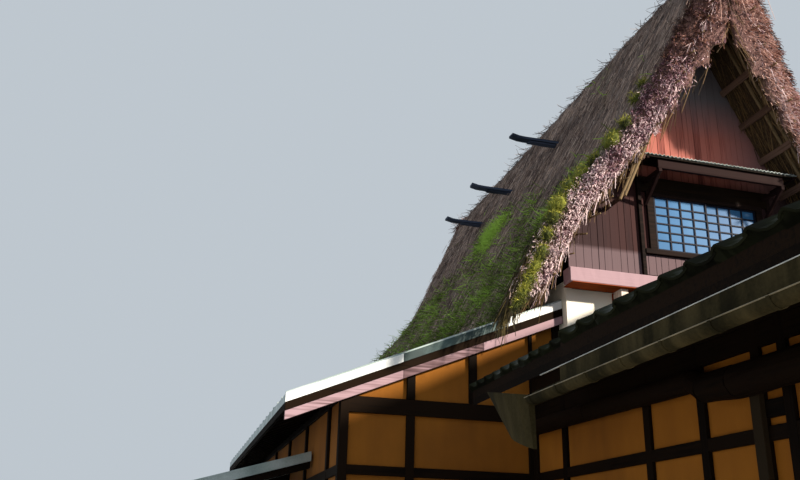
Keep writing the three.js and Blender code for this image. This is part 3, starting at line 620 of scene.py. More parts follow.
def aim(roots, directions, lengths, widths, flat):
    # one matrix for each stalk: its thickness across and side, its length along the direction
    along = directions / np.linalg.norm(directions, axis=1, keepdims=True)
    across = np.cross(along, dice.normal(size=along.shape))
    across /= np.linalg.norm(across, axis=1, keepdims=True)
    matrices = np.zeros((len(roots), 4, 4), np.float32)
    matrices[:, :3, 0] = across * widths[:, None]
    matrices[:, :3, 1] = np.cross(along, across) * widths[:, None] * flat
    matrices[:, :3, 2] = along * lengths[:, None]
    matrices[:, :3, 3] = roots
    matrices[:, 3, 3] = 1
    return matrices


straightStalks = stalkShapes((0,))
curledStalks = stalkShapes((3.0, -5.0, 7.0, 9.0))
leafBlades = stalkShapes((2.0, 4.0, 6.0, -3.0), widths=(0.5, 0.12))


def scatter(name, roots, directions, lengths, widths, tones, material, shapes=straightStalks, flat=1.0):
    matrices = aim(roots, directions, lengths, widths, flat)
    groups = [(shape, matrices[i::len(shapes)], tones[i::len(shapes)]) for i, shape in enumerate(shapes)]
    heap(name, groups, material)


def pick(obj, count, wantedAt):
    # places on a coat, each a vertex that is wanted, moved a little, with its normal
    points, normals = verticesOf(obj)
    wanted = wantedAt(layout(points), normals)
    chosen = dice.choice(len(points), count, p=wanted / wanted.sum())
    return points[chosen] + dice.normal(0, 0.02, (count, 3)), normals[chosen]


def spread(low, high, count):
    return dice.uniform(low, high, count).astype(np.float32)


def slopeStalks(side, count):
    roots, lift = pick(coats[side], count, lambda place, normals: np.clip(facingOut(normals, side) - 0.5, 0, 1))
    directions = downSlope(side) + dice.normal(0, 0.33, (count, 3)) * [0, 1, 0]
    directions += lift * dice.normal(0.02, 0.035, (count, 1))
    tones = 0.42 + dice.normal(0, 0.24, count) + softNoise(roots, 0.9, 6.0) * 0.3
    scatter(f"slope_straw_{side}", roots, directions, spread(0.12, 0.34, count), spread(0.007, 0.015, count),
            np.clip(tones, 0, 1), oldStraw)


def vergeStalks(end, counts):
    # dark and brown high up, weathered and with painted shade, and pale rose lower down
    sign = -1 if end == "front" else 1

    def wantedAt(place, normals):
        return np.clip(normals[:, 1] * sign - 0.25, 0, 1) * np.clip((560 - depthAt(place)) / 100, 0.3, 1)

    for side, count in zip(coats, counts):
        roots, lift = pick(coats[side], count, wantedAt)
        hang = np.array([outward[side] * 0.35, sign * 0.45, -0.7])
        directions = hang + dice.normal(0, 0.3, (count, 3)) + lift * 0.2
        place = layout(roots)
        deep, height = depthAt(place), place[:, 2]
        patch = softNoise(roots, 0.3, 2.0) * 0.6 + softNoise(roots, 0.09, 4.0) * 0.45
        high = np.clip((height - 8300) / 700, 0, 1)
        tones = 0.42 + patch + np.clip(deep, 0, 400) / 1200 - 0.5 * high * np.clip(1 - deep / 230, 0, 1)
        tones += dice.normal(0, 0.26, count)
        tones += 0.28 * np.clip((6800 - height) / 900, 0, 1) + (0.1 if side == "right" else 0)
        tones -= 0.4 * np.clip((height - 7300) / 900, 0, 1) * (side == "left")
        lengths, widths = spread(0.03, 0.1, count), spread(0.007, 0.013, count)
        warm = (high > dice.uniform(0.2, 1.2, count)) | (side == "right") & (dice.uniform(size=count) < 0.7)
        for name, chosen, material in (("rose", ~warm, cutStraw), ("warm", warm, warmStraw)):
            scatter(f"verge_{name}_straw_{end}_{side}", roots[chosen], directions[chosen], lengths[chosen],
                    widths[chosen], np.clip(tones[chosen], 0, 1), material)


def underStalks(side, count):
    # on the underside, beyond the gables
    def wantedAt(place, normals):
        hidden = (place[:, 1] > -260) & (place[:, 1] < gableLength + 260)
        return np.clip(-facingOut(normals, side) - 0.5, 0, 1) * ~hidden

    roots, lift = pick(coats[side], count, wantedAt)
    directions = downSlope(side) + dice.normal(0, 0.14, (count, 3)) + lift * 0.03
    scatter(f"under_straw_{side}", roots, directions, spread(0.2, 0.6, count), spread(0.008, 0.016, count),
            spread(0.2, 1, count), underStraw)


def arrisStalks(side, count):
    # pale stalks that lie along the inner arris of the front verge
    def wantedAt(place, normals):
        inner = np.exp(-((depthAt(place) - 375) / 45) ** 2) * (normals[:, 1] < -0.05) * (place[:, 1] < 0)
        return inner * (place[:, 2] > 5150) + 1e-9

    roots, lift = pick(coats[side], count, wantedAt)
    directions = downSlope(side) + dice.normal(0, 0.25, (count, 3)) + lift * 0.15
    scatter(f"arris_straw_{side}", roots, directions, spread(0.1, 0.36, count), spread(0.006, 0.011, count),
            spread(0.55, 1, count), cutStraw)


def ridgeEndStems(count):
    # long stems that hang from the front end of the ridge
    roots = np.array([at(chance.uniform(-420, 420), chance.uniform(-1700, -1550), chance.uniform(10250, 10650))
                      for _ in range(count)])
    directions = np.array([[0, -0.08, -1]]) + dice.normal(0, 0.1, (count, 3))
    scatter("ridge_hanging_stems", roots, directions, spread(0.4, 1.1, count), spread(0.007, 0.011, count),
            spread(0.6, 1, count), warmStraw)


def hangingGrowth(count):
    # old roots and stalks that hang from the lower front corner of the left slope
    def wantedAt(place, normals):
        corner = np.clip((900 - place[:, 1]) / 900, 0, 1) * np.clip((6400 - place[:, 2]) / 900, 0, 1)
        return corner * np.clip(facingOut(normals, "left") - 0.3, 0, 1) + 1e-9

    roots, lift = pick(coats["left"], count, wantedAt)
    directions = np.array([-0.12, -0.05, -1]) + dice.normal(0, 0.12, (count, 3)) + lift * 0.1
    scatter("hanging_roots", roots, directions, spread(0.2, 0.65, count), spread(0.008, 0.016, count),
            np.clip(dice.normal(0.45, 0.22, count), 0, 1), hangingRoots)


def ridgeStalks(obj, count):
    def wantedAt(place, normals):
        ends = np.clip(abs(place[:, 1] - gableLength / 2) / 1000 - 5.6, 0, 0.9) * 1.6
        return (np.clip(place[:, 2] - 10640, 0, 40) / 40) * (0.35 + ends)

    roots, lift = pick(obj, count, wantedAt)
    directions = lift * 0.05 + dice.normal(0, 0.6, (count, 3)) * [1, 1, 0.2] + np.array([0, 0, -0.3])
    atEnds = abs(layout(roots)[:, 1] - gableLength / 2) > 5900
    tones = np.clip(0.18 + 0.08 * atEnds + dice.normal(0, 0.18, count), 0, 1)
    for name, chosen, material in (("ridge_end_straw", atEnds, warmStraw), ("ridge_straw", ~atEnds, oldStraw)):
        some = int(chosen.sum())
        scatter(name, roots[chosen], directions[chosen], spread(0.1, 0.32, some), spread(0.008, 0.015, some),
                tones[chosen], material, curledStalks)


def brightAt(place, along, up):
    # one patch of fresh grass on the left slope, that long and high
    return np.exp(-((place[:, 1] - 5200) ** 2 / along ** 2 + (place[:, 2] - 8150) ** 2 / up ** 2))


def roofGrass(count):
    def wantedAt(place, normals):
        facing = np.clip(facingOut(normals, "left") - 0.5, 0, 1)
        return facing * (growthAt(place) ** 2 + 3 * brightAt(place, 700, 330))

    roots, lift = pick(coats["left"], count, wantedAt)
    place = layout(roots)
    directions = lift * 0.45 + dice.normal(0, 0.3, (count, 3)) + np.array([-0.25, -0.1, -0.35])
    tones = 0.46 + 0.75 * brightAt(place, 800, 420) + softNoise(roots, 0.7, 21.0) * 0.35
    tones += dice.normal(0, 0.16, count)
    tones -= 0.3 * np.clip((6400 - place[:, 2]) / 1400, 0, 1)
    scatter("roof_grass", roots, directions, spread(0.07, 0.26, count), spread(0.014, 0.03, count),
            np.clip(tones, 0, 1), fernGreen, leafBlades, 0.35)


# moss cushions on the outer arris of the left verge: height, size along the verge, size across, in mm, and tone
cushions = [(8400, 110, 90, 0.0), (8120, 140, 110, -0.1), (7640, 130, 110, -0.2), (7390, 330, 220, 0.1),
            (7130, 190, 150, -0.3), (6830, 280, 210, 0.1), (6590, 300, 200, -0.05), (6230, 250, 190, 0.15),
            (6030, 200, 150, -0.15), (5700, 150, 110, -0.1), (5420, 210, 110, -0.05), (5220, 250, 110, 0.1),
            (5010, 230, 100, 0.0), (4830, 210, 90, 0.1), (4680, 190, 80, -0.1)]


def mossCushions():
    parts = []
    for height, tall, wide, tone in cushions:
        y = (-680 if 6500 < height < 7200 else -880 if 5800 < height < 7500 else -1000) + chance.uniform(0, 60)
        out = float(flare(np.array([[0, y, height]]))[0])
        x = -(thatch["over"] - height) / thatch["fall"] - out - 20 + (30 if height < 5500 else 0)
        mesh = bmesh.new()
        bmesh.ops.create_icosphere(mesh, subdivisions=3, radius=1)
        for vert in mesh.verts:
            lumps = 1 + 0.34 * noise.noise(vert.co * 1.9 + Vector((height, 0, 0))) + 0.18 * noise.noise(vert.co * 5)
            vert.co = Vector((vert.co.x * wide / 2000, vert.co.y * wide / 1700, vert.co.z * tall / 1700)) * lumps
        bmesh.ops.rotate(mesh, verts=mesh.verts, matrix=Matrix.Rotation(math.atan2(1, thatch["fall"]), 3, "Y"))
        bmesh.ops.translate(mesh, vec=at(x, y, height), verts=mesh.verts)
        parts.append((shapeOf(mesh), stay, 0.3 + tone))
    return heap("verge_moss", parts, mossGreen, smooth=True)


def mossTufts(obj, count):
    # short leaves all over the cushions, yellow-green above and dark green below: the moss's own colour and painted
    # light from above
    roots, lift = pick(obj, count, lambda place, normals: np.ones(len(place)))
    directions = lift + dice.normal(0, 0.5, (count, 3))
    tones = np.clip(0.4 + 0.42 * lift[:, 2] + softNoise(roots, 0.35, 17.0) * 0.35 + dice.normal(0, 0.14, count), 0, 1)
    scatter("moss_leaves", roots, directions, spread(0.02, 0.06, count), spread(0.01, 0.02, count), tones,
            mossGreen, leafBlades, 0.6)


coats = {side: thatchCoat(side) for side in outward}
print("thatch coats")
for side in outward:
    slopeStalks(side, stalks["slope"][side])
for end, counts in stalks["verge"].items():
    vergeStalks(end, counts)
for side in outward:
    underStalks(side, stalks["under"])
for side in outward:
    arrisStalks(side, stalks["arris"])
ridgeEndStems(stalks["ridgeEnd"])
hangingGrowth(stalks["roots"])
ridgeStalks(ridgeCoat(), stalks["ridge"])
roofGrass(stalks["grass"])
mossTufts(mossCushions(), stalks["moss"])
print("thatch stalks, grass and moss")


# Wave tiles of smoked clay: 300 square, 265 from column to column, showing 235 of their length, over boards
tiles = {"pitch": 265, "show": 235, "size": 300, "thick": 15, "top": 5760, "fall": 0.535, "boards": 48, "near": -8350,
         "across": (0, 35, 80, 130, 180, 212, 240, 268, 300), "rise": (6, -8, -17, -17, -4, 18, 34, 26, -2),
         "lip": (40, 52, 60, 62, 62, 82, 102, 82, 40)}
# how far the eave reaches from the ridge, up to each place along the wing
wingEaves = {"left": ((-5350, 5080), (-950, 4170), (wingFar, 2900)), "right": ((-950, 4170), (wingFar, 2900))}
ridgeTiles = {"count": 30, "step": 267, "courses": ((5682, 165), (5714, 158), (5746, 150), (5778, 140)), "cap": 5814}


def wavy(mesh, place):
    # a strip of faces eight wide, bent to the wave of a tile; place gives each corner from its column and end
    for vert in bmesh.ops.create_grid(mesh, x_segments=8, y_segments=1, size=4)["verts"]:
        vert.co = place(round(vert.co.x) + 4, vert.co.y > 0)


def tileShape(withLip):
    mesh = bmesh.new()
    rise, across, size, thick = tiles["rise"], tiles["across"], tiles["size"], tiles["thick"]
    wavy(mesh, lambda i, far: Vector((across[i], 0 if far else -size, rise[i] + (thick if far else 0) + 5)))
    if withLip:
        wavy(mesh, lambda i, far: Vector((across[i], -6, rise[i] + thick - (0 if far else tiles["lip"][i]))))
    bmesh.ops.solidify(mesh, geom=mesh.faces[:], thickness=thick)
    bmesh.ops.recalc_face_normals(mesh, faces=mesh.faces)
    bmesh.ops.scale(mesh, vec=(0.001, 0.001, 0.001), verts=mesh.verts)

    def paintedHollowLight(spot):
        # the hollow is painted pale for the sky it reflects and the sun on it; the roll and the lip stay dark with
        # moss and painted shade
        index = min(range(9), key=lambda i: abs(across[i] / 1000 - spot.x))
        return 0.0 if spot.y > -0.03 else 0.8 * (34 - rise[index]) / 51

    return shapeOf(mesh, paintedHollowLight)


def roofTiles(side):
    sign, pitch, fall = outward[side], tiles["pitch"], tiles["fall"]
    length = math.hypot(1, fall)
    down = np.array([sign, 0, -fall]) / length
    lift = np.array([sign * fall, 0, 1]) / length
    turn = np.column_stack([np.cross(down, lift), down, lift])
    placed = {False: [], True: []}
    for column in range(int((wingFar - tiles["near"]) / pitch)):
        y = tiles["near"] + column * pitch
        eave = next(reach for far, reach in wingEaves[side] if y + 150 < far)
        # beside the body they start at its wall, and under the base beam where the roof is lower than it
        inner = 2360 if y + pitch > 0 else 830 if y + pitch > -320 else 60
        for row in range(int((eave - inner) * length / tiles["show"]) + 1):
            x = eave + 25 - row * tiles["show"] / length
            spot = at(sign * x, y if sign < 0 else y + pitch, tiles["top"] - 11 - fall * x)
            wobble = Matrix.Rotation(chance.gauss(0, 0.008), 3, "Z") @ Matrix.Rotation(chance.gauss(0, 0.006), 3, "X")
            matrix = np.eye(4)
            matrix[:3, :3] = turn @ np.array(wobble)
            matrix[:3, 3] = np.array(spot) + lift * chance.gauss(0, 0.002)
            placed[row == 0].append(matrix)
    groups = [(tileShape(lip), np.array(found), dice.uniform(0, 0.3, len(found))) for lip, found in placed.items()]
    heap(f"wing_tiles_{side}", groups, clayTile)


def roofBoards(side):
    # the boards under the tiles: a copy of the CAD slab with its top face let down
    nodeName = f"wing_roof_{side}"
    work = bmesh.new()
    work.from_mesh(nodes[nodeName].data)
    bmesh.ops.remove_doubles(work, verts=work.verts, dist=0.0005)
    for vert in work.verts:
        x = abs(vert.co.x - shift.x) * 1000
        if abs(vert.co.z * 1000 - (tiles["top"] - tiles["fall"] * x)) < 5:
            vert.co.z -= tiles["boards"] / 1000
    heap(f"wing_roof_boards_{side}", toned([shapeOf(work)], 0.5, 0.5), rafterWood, (nodeName,))


def slopeBar(x0, x1, y0, y1, low, high, roof, bevel=4):
    # a member that follows a roof: low and high are heights from the roof's top face
    x0, x1 = sorted((x0, x1))
    mesh = cube(x0, x1, y0, y1, low, high, bevel)
    for vert in mesh.verts:
        vert.co.z += roof["top"] - roof["fall"] * abs(vert.co.x)
    return toFrame(mesh)


def wingRidge():
    courses, count = [], ridgeTiles["count"]
    for level, half in ridgeTiles["courses"]:
        for column in range(count):
            y = tiles["near"] + column * ridgeTiles["step"]
            courses += [bar(side * half - 78, side * half + (60 if side < 0 else 0), y, y + 262, level, level + 24, 4)
                        for side in (-1, 1)]
    framed("wing_ridge_courses", courses, clayTile, ("wing_ridge",))
    mesh = bmesh.new()
    bmesh.ops.create_cone(mesh, segments=14, radius1=0.092, radius2=0.082, depth=0.3, cap_ends=True)
    bmesh.ops.rotate(mesh, verts=mesh.verts, matrix=Matrix.Rotation(math.pi / 2, 3, "X"))
    caps = [Matrix.Translation(at(0, tiles["near"] + 150 + tiles["pitch"] * i, ridgeTiles["cap"]))
            for i in range(count)]
    heap("wing_ridge_caps", [(shapeOf(mesh), caps, dice.uniform(0, 1, count))], clayTile)


for side in outward:
    roofTiles(side)
    roofBoards(side)
wingRidge()
print("wing tiles")


# Lean-to roofs of sheet with standing seams, and their verges in three bands: sheet, dark strip, light board
leanRoof = {"top": 6121, "fall": 0.415, "inner": 2350, "eave": 6370, "near": 190, "far": 9675, "seam": 455}
# the tones of the verge bands, from the body out, are painted light: sunlit and shaded sheet, sunlit and shaded board
vergeBands = {"joints": (3260, 3600, 4776), "sheetPaintedLight": (0.95, 0.15, 0.1, 0.8), "boardPaintedLight": (1.0, 0.9, -0.22, 0.3)}


def leanToRoof(side):
    near, far = leanRoof["near"], leanRoof["far"]
    joints = [outward[side] * x for x in (leanRoof["inner"], *vergeBands["joints"], leanRoof["eave"])]
    seams = [slopeBar(joints[0], joints[-1], y, y + 22, -4, 30, leanRoof, 5)
             for y in range(near, far, leanRoof["seam"])]
    framed(f"lean_to_seams_{side}", seams, sheetSteel)
    strips, boards, edges = [], [], []
    for y0, y1 in ((near - 12, near + 2), (far - 2, far + 12)):
        strips.append(slopeBar(joints[0], joints[-1], y0, y1, -224, -113, leanRoof))
        for start, end, sheetLight, boardLight in zip(joints, joints[1:], vergeBands["sheetPaintedLight"],
                                                    vergeBands["boardPaintedLight"]):
            x0, x1 = sorted((start, end))
            boards.append((slopeBar(x0 + 2, x1 - 2, y0 - 6, y1, -345, -228, leanRoof), stay, boardLight))
            edges.append((slopeBar(x0, x1, y0 + 2, y1, -112, 5, leanRoof, 2), stay, sheetLight))
    framed(f"lean_to_verge_strips_{side}", strips, rafterWood)
    heap(f"lean_to_verge_boards_{side}", boards, bleachedBeam)
    heap(f"lean_to_verge_sheet_{side}", edges, vergeSheet)
    nodes[f"lean_to_roof_{side}"].data.materials[0] = sheetSteel
    nodes[f"lean_to_rafters_{side}"].data.materials[0] = rafterWood


for side in outward:
    leanToRoof(side)
print("lean-to roofs")


# The gable: upright cedar boards, a framed window of two sashes, a small pent roof and a bleached base beam
gable = {"face": -230, "boards": 118, "board": 26, "sill": 5975, "head": 6875, "half": 930, "beamTop": 5530,
         "panes": (4, 6), "muntin": 24, "stile": 34}
pent = {"half": 1345, "pitch": 68, "wave": 13, "under": 7262, "slope": (7455 - 7250) / 570, "bracket": 1080}


def gableBoards():
    # each board is cut off inside the thatch, and round the window
    boards, x, top = [], -2410, 10300
    while x < 2400:
        width = gable["boards"] + chance.uniform(-35, 35)
        spans = [(gable["beamTop"] - 5, top)]
        if abs(x + width / 2) < gable["half"] + 60:
            spans = [(gable["beamTop"] - 5, gable["sill"] - 20), (gable["head"] + 20, top)]
        for low, high in spans:
            front = gable["face"] + chance.uniform(-4, 3)
            mesh = cube(x, x + width - 4, front, front + gable["board"], low, high, 0)
            for sign in (-1, 1):
                cutAcross(mesh, (0, 0, thatch["under"] + 560), (sign * thatch["fall"], 0, 1), clear=True)
                bmesh.ops.holes_fill(mesh, edges=mesh.edges[:])
            ease(mesh, 3)
            boards.append(toFrame(mesh))
        x += width
    return toned(boards)


def windowFrame():
    half, face, foot = 1203, gable["face"], gable["beamTop"]
    bars = [bar(side * 1170 - 33, side * 1170 + 33, face - 46, face + 2, foot, 7200) for side in (-1, 1)]
    bars += [bar(side * 988 - 58, side * 988 + 58, face - 40, face + 2, 5900, 6935) for side in (-1, 1)]
    bars += [bar(-1046, 1046, face - 44, face + 4, 6872, 6940), bar(-1140, 1140, face - 60, face + 4, 5900, 5978),
             bar(-half, half, face - 42, face + 2, foot, foot + 30)]
    head = bar(-half + 60, half - 60, face - 38, face + 2, 6940, 7200)
    return toned(bars, 0.1, 0.5), toned([head], 0.4, 0.4)


def sash(low, high, front, back):
    # stiles and rails, with thin bars between the panes
    columns, rows = gable["panes"]
    sill, head, thin, stile = gable["sill"], gable["head"], gable["muntin"] / 2, gable["stile"]
    bars = [bar(low, low + stile, front, back, sill, head), bar(high - stile, high, front, back, sill, head),
            bar(low + 30, high - 30, front + 1, back - 1, sill, sill + 30),
            bar(low + 30, high - 30, front + 1, back - 1, head - 30, head)]
    for i in range(1, columns):
        x = low + stile + (high - low - 2 * stile) * i / columns
        bars.append(bar(x - thin, x + thin, front + 2, back - 8, sill + 20, head - 20, 2))
    for i in range(1, rows):
        z = sill + 30 + (head - sill - 60) * i / rows
        bars.append(bar(low + 20, high - 20, front + 3, back - 9, z - thin, z + thin, 2))
    return bars, bar(low + 20, high - 20, back - 9, back - 4, sill + 15, head - 15, 1)


def corrugated():
    # pressed sheet in waves over boards 20 thick
    mesh = bmesh.new()
    bmesh.ops.create_grid(mesh, x_segments=340, y_segments=1, size=1)
    for vert in mesh.verts:
        x, y = vert.co.x * pent["half"], -520 + vert.co.y * 288
        wave = pent["wave"] * math.cos(2 * math.pi * x / pent["pitch"])
        vert.co = (x, y, pent["under"] + 45 + pent["slope"] * (y + 808) + wave)
    bmesh.ops.solidify(mesh, geom=mesh.faces[:], thickness=-3)
    bmesh.ops.recalc_face_normals(mesh, faces=mesh.faces)
    shapes = []
    for y in range(-800, -240, 142):
        board = cube(-1335, 1335, y, y + 138, 0, 20, 3)
        for vert in board.verts:
            vert.co.z += pent["under"] + pent["slope"] * (vert.co.y + 800)
        shapes.append(toFrame(board))
    return toFrame(mesh), shapes


def pentTimbers():
    bars = [bar(-1110, 1110, -762, -722, 7130, 7262), bar(-1300, 1300, -300, -236, 7400, 7456)]
    return bars + [bar(side * 1290 - 22, side * 1290 + 22, -795, -236, 7235, 7275) for side in (-1, 1)]


def braces():
    # the pale lower edge of the fascia, its arms, and two slanting brackets from the window frame out to them
    x = pent["bracket"]
    shapes = [bar(-1120, 1120, -770, -716, 7108, 7132)]
    shapes += [bar(side * x - 30, side * x + 30, -770, -268, 7050, 7112) for side in (-1, 1)]
    for side in (-1, 1):
        mesh = cube(side * x - 24, side * x + 24, -30, 30, -290, 290, 4)
        bmesh.ops.rotate(mesh, verts=mesh.verts, matrix=Matrix.Rotation(math.radians(52), 3, "X"))
        bmesh.ops.translate(mesh, vec=(0, -500, 6890), verts=mesh.verts)
        shapes.append(toFrame(mesh))
    return shapes


def baseBeam():
    # its face is split and worn along its length
    mesh = cube(-2440, 2440, -322, -90, 5311, gable["beamTop"], 10, cuts=60)
    for vert in mesh.verts:
        if vert.co.y < -300:
            vert.co.y += 5 * noise.noise(Vector((vert.co.x / 90, vert.co.z / 40, 3)))
    return toFrame(mesh)


def soffit():
    # a board under the beam, back to the plaster, whose orange is painted warm light thrown up under the beam, and the
    # studs that stand forward of the plaster
    inner, outer = 1461, 1584
    mesh = cube(-outer, -inner, -235, 2, 4500, 5303, 6)
    for vert in mesh.verts:
        if vert.co.z < 4600:
            vert.co.z = tiles["top"] - tiles["fall"] * abs(vert.co.x) - 60
    other = mesh.copy()
    bmesh.ops.translate(other, vec=(inner + outer, 0, 0), verts=other.verts)
    return [bar(-2400, 2400, -318, 2, 5302, 5312, 2)], [toFrame(mesh), toFrame(other)]


def gableSet(end):
    front, half = end == "front", gable["half"]
    boards, (members, head) = gableBoards(), windowFrame()
    bars, panes = [], []
    for low, high, near, far in ((-half, 20, -264, -238), (-20, half, -238, -212)):
        sashBars, pane = sash(low, high, near, far)
        bars += sashBars
        panes.append(pane)
    sheet, pentBoards = corrugated()
    frameName = "front_window_frame" if front else "rear_window"
    sashNames = ("front_window_sash_left", "front_window_sash_right") if front else ()
    for name, parts, material, slot, replaced in (
            ("cedar_boards", boards, cedarBoards, "red_boards", (f"{end}_gable_boards",)),
            ("window_members", members, cedarLevel, "red_boards", (frameName,)),
            ("window_head", head, beamTimber, "dark_timber", ()),
            ("sash_bars", toned(bars, 0.2, 0.2), sashTimber, "dark_timber", sashNames),
            ("panes", toned(panes, 0.5, 0.5), bluePaper, "paper", ()),
            ("pent_sheet", toned([sheet], 0.5, 0.5), sheetSteel, "sheet_metal", (f"{end}_pent_roof",)),
            ("pent_boards", toned(pentBoards), beamTimber, "dark_timber", ()),
            ("pent_timbers", toned(pentTimbers()), pentTimber, "dark_timber", ("front_pent_fascia",) if front else ()),
            ("pent_brackets", toned(braces(), 0.6, 0.6), pentTimber, "bamboo", ()),
            ("bleached_beam", toned([baseBeam()], 0.8, 0.8), bleachedBeam, "grey_timber", (f"{end}_base_beam",))):
        heap(f"{end}_{name}", atEnd(end, parts), material, replaced)


for end in ("front", "rear"):
    gableSet(end)
    if end == "front":
        soffitBoards, studs = soffit()
        framed("front_soffit_board", soffitBoards, stainedRailAndBounceLight)
        framed("front_studs", studs, bleachedPost)
print("gables")


# Walls: the plaster solids stay, and each timber in front of them is a member of its own
walls = {"post": 120, "depth": 42, "postProud": 4, "railProud": 1, "plinth": 250, "floor": 310,
         "rail": (2505, 2630), "beam": (3320, 3540), "window": (1100, 2300)}
plinth, floor, rail, beam = (walls[name] for name in ("plinth", "floor", "rail", "beam"))


def wallBar(plane, u0, u1, low, high, z0, z1, bevel):
    # a member of a wall that faces x or y: u runs along the wall, low and high are across it
    low, high = sorted((low, high))
    return bar(low, high, u0, u1, z0, z1, bevel) if plane == "x" else bar(u0, u1, low, high, z0, z1, bevel)


def timberWall(name, plane, face, out, posts, rails, slopes, replaced, post, cross):
    # posts: place, bottom and top, and the width where it is another; rails: from, to, bottom and top
    back, uprights = face - out * walls["depth"], []
    for u, z0, z1, *width in posts:
        half = (width[0] if width else walls["post"]) / 2
        uprights.append(wallBar(plane, u - half, u + half, back, face + out * walls["postProud"], z0, z1, 5))
    levels = [wallBar(plane, u0, u1, back, face + out * walls["railProud"], z0, z1, 5) for u0, u1, z0, z1 in rails]
    framed(f"{name}_posts", uprights, post, replaced)
    framed(f"{name}_rails", levels + list(slopes), cross)


def leanWallTop(x):
    return leanRoof["top"] - leanRoof["fall"] * abs(x) - 212


def bodyFront():
    # above the beam the corners are plastered over, and the studs stand forward under the gable
    posts = [(x, floor, beam[0] if abs(x) > 2000 else 5300) for x in (-2280, -1530, -970, 970, 1530, 2280)]
    rails = [(-bodyHalf, -910, floor, floor + 120), (910, bodyHalf, floor, floor + 120),
             (-bodyHalf, bodyHalf, 2310, 2430), (-bodyHalf, bodyHalf, *beam)]
    timberWall("body_front", "y", 0, -1, posts, rails, (), ("main_front_timbers",), stainedPost, stainedRailAndBounceLight)


def leanToWalls(side):
    sign = outward[side]
    posts = [(sign * x, plinth if x > 2500 else floor, min(beam[0], leanWallTop(x))) for x in (2400, 2820, 4620)]
    posts.append((sign * 5544, plinth, leanWallTop(5544)))
    posts += [(sign * x, beam[1], leanWallTop(x + width / 2), width)
              for x, width in ((2400, 120), (2815, 50), (3710, 120), (4620, 120))]
    low, high = sorted((sign * bodyHalf, sign * leanHalf))
    rails = [(low, high, floor, floor + 120), (low, high, *rail),
             (*sorted((sign * bodyHalf, sign * 5560)), *beam)]
    slope = slopeBar(low, high, wingFar - 1, wingFar + 42, -304, -212, leanRoof, 5)
    timberWall(f"lean_to_end_{side}", "y", wingFar, -1, posts, rails, (slope,), (f"lean_to_timbers_{side}",),
               postTimber, beamTimber)
    top = leanWallTop(leanHalf)
    posts = [(y, plinth, top) for y in (380, 1230, 3250, 5270, 7290, 9495)]
    rails = [(361, 9515, plinth, plinth + 120), (1230, 9495, 1000, 1100), (1230, 9495, 2300, 2400),
             (361, 9515, *rail), (361, 9515, top - 90, top)]
    timberWall(f"lean_to_side_{side}", "x", sign * leanHalf, sign, posts, rails, (), (), postTimber, plateTimber)


def rearWall():
    posts = [(side * x, plinth, 5310 if x < 2300 else leanWallTop(x + 60)) for x in (2280, 3450, 4620, 5544)
             for side in (-1, 1)]
    posts += [(side * 970, plinth, 5310) for side in (-1, 1)]
    rails = [(-leanHalf, leanHalf, plinth, plinth + 120), (-leanHalf, leanHalf, *rail), (-5540, 5540, *beam),
             (-bodyHalf, bodyHalf, 5220, 5310)]
    slopes = [slopeBar(side * bodyHalf, side * leanHalf, gableLength - 41, gableLength + 1, -304, -212, leanRoof, 5)
              for side in (-1, 1)]
    timberWall("rear", "y", gableLength, 1, posts, rails, slopes, ("rear_timbers",), postTimber, beamTimber)


def wingWalls():
    top = tiles["top"] - tiles["fall"] * wingHalf - 244
    for side, sign in outward.items():
        left = side == "left"
        posts = [(-7650, plinth, top, 180)]
        posts += [(y, plinth, top) for y in (-4925, -4570, -3695, -2690, -670, 260)]
        rails = [(-4985 if left else wingNear, wingFar, plinth, plinth + 120)]
        rails += [(wingNear, wingFar, *levels) for levels in (rail, beam, (3545, 3760), (3765, top))]
        if left:
            rails += [(-7560, -4985, 2300, 2500), (-4865, -4630, 2697, 2850)]
        timberWall(f"wing_{side}", "x", sign * wingHalf, sign, posts, rails, (), ("wing_timbers",) if left else (),
                   postTimber, plateTimber)
    posts = [(x, plinth, top if abs(x) > 2000 else 4900) for x in (-2760, -970, 970, 2760)]
    rails = [(-wingHalf, wingHalf, plinth, plinth + 120), (-910, 910, 1000, 1100), (-910, 910, 2300, 2505),
             (-wingHalf, wingHalf, *rail), (-wingHalf, wingHalf, *beam)]
    slopes = [slopeBar(side * 20, side * wingHalf, wingNear - 1, wingNear + 41, -426, -244, tiles, 5)
              for side in (-1, 1)]
    timberWall("wing_front", "y", wingNear, -1, posts, rails, slopes, (), postTimber, beamTimber)


def latticeWindow(plane, face, out, u0, u1, panels):
    # sliding panels with upright and level bars over the paper
    def member(a0, a1, z0, z1, deep):
        return wallBar(plane, a0, a1, face - out * deep, face - out * 41, z0, z1, 2)

    bars, width, (low, high) = [], (u1 - u0) / panels, walls["window"]
    for panel in range(panels):
        near, far = u0 + panel * width, u0 + (panel + 1) * width
        bars += [member(near, near + 32, low, high, 20), member(far - 32, far, low, high, 20),
                 member(near, far, low, low + 60, 22), member(near, far, high - 40, high, 22)]
        bars += [member(near + width * i / 3 - 6, near + width * i / 3 + 6, low, high, 30) for i in (1, 2)]
        bars += [member(near, far, low + 200 * i - 6, low + 200 * i + 6, 32) for i in range(1, 6)]
    return bars


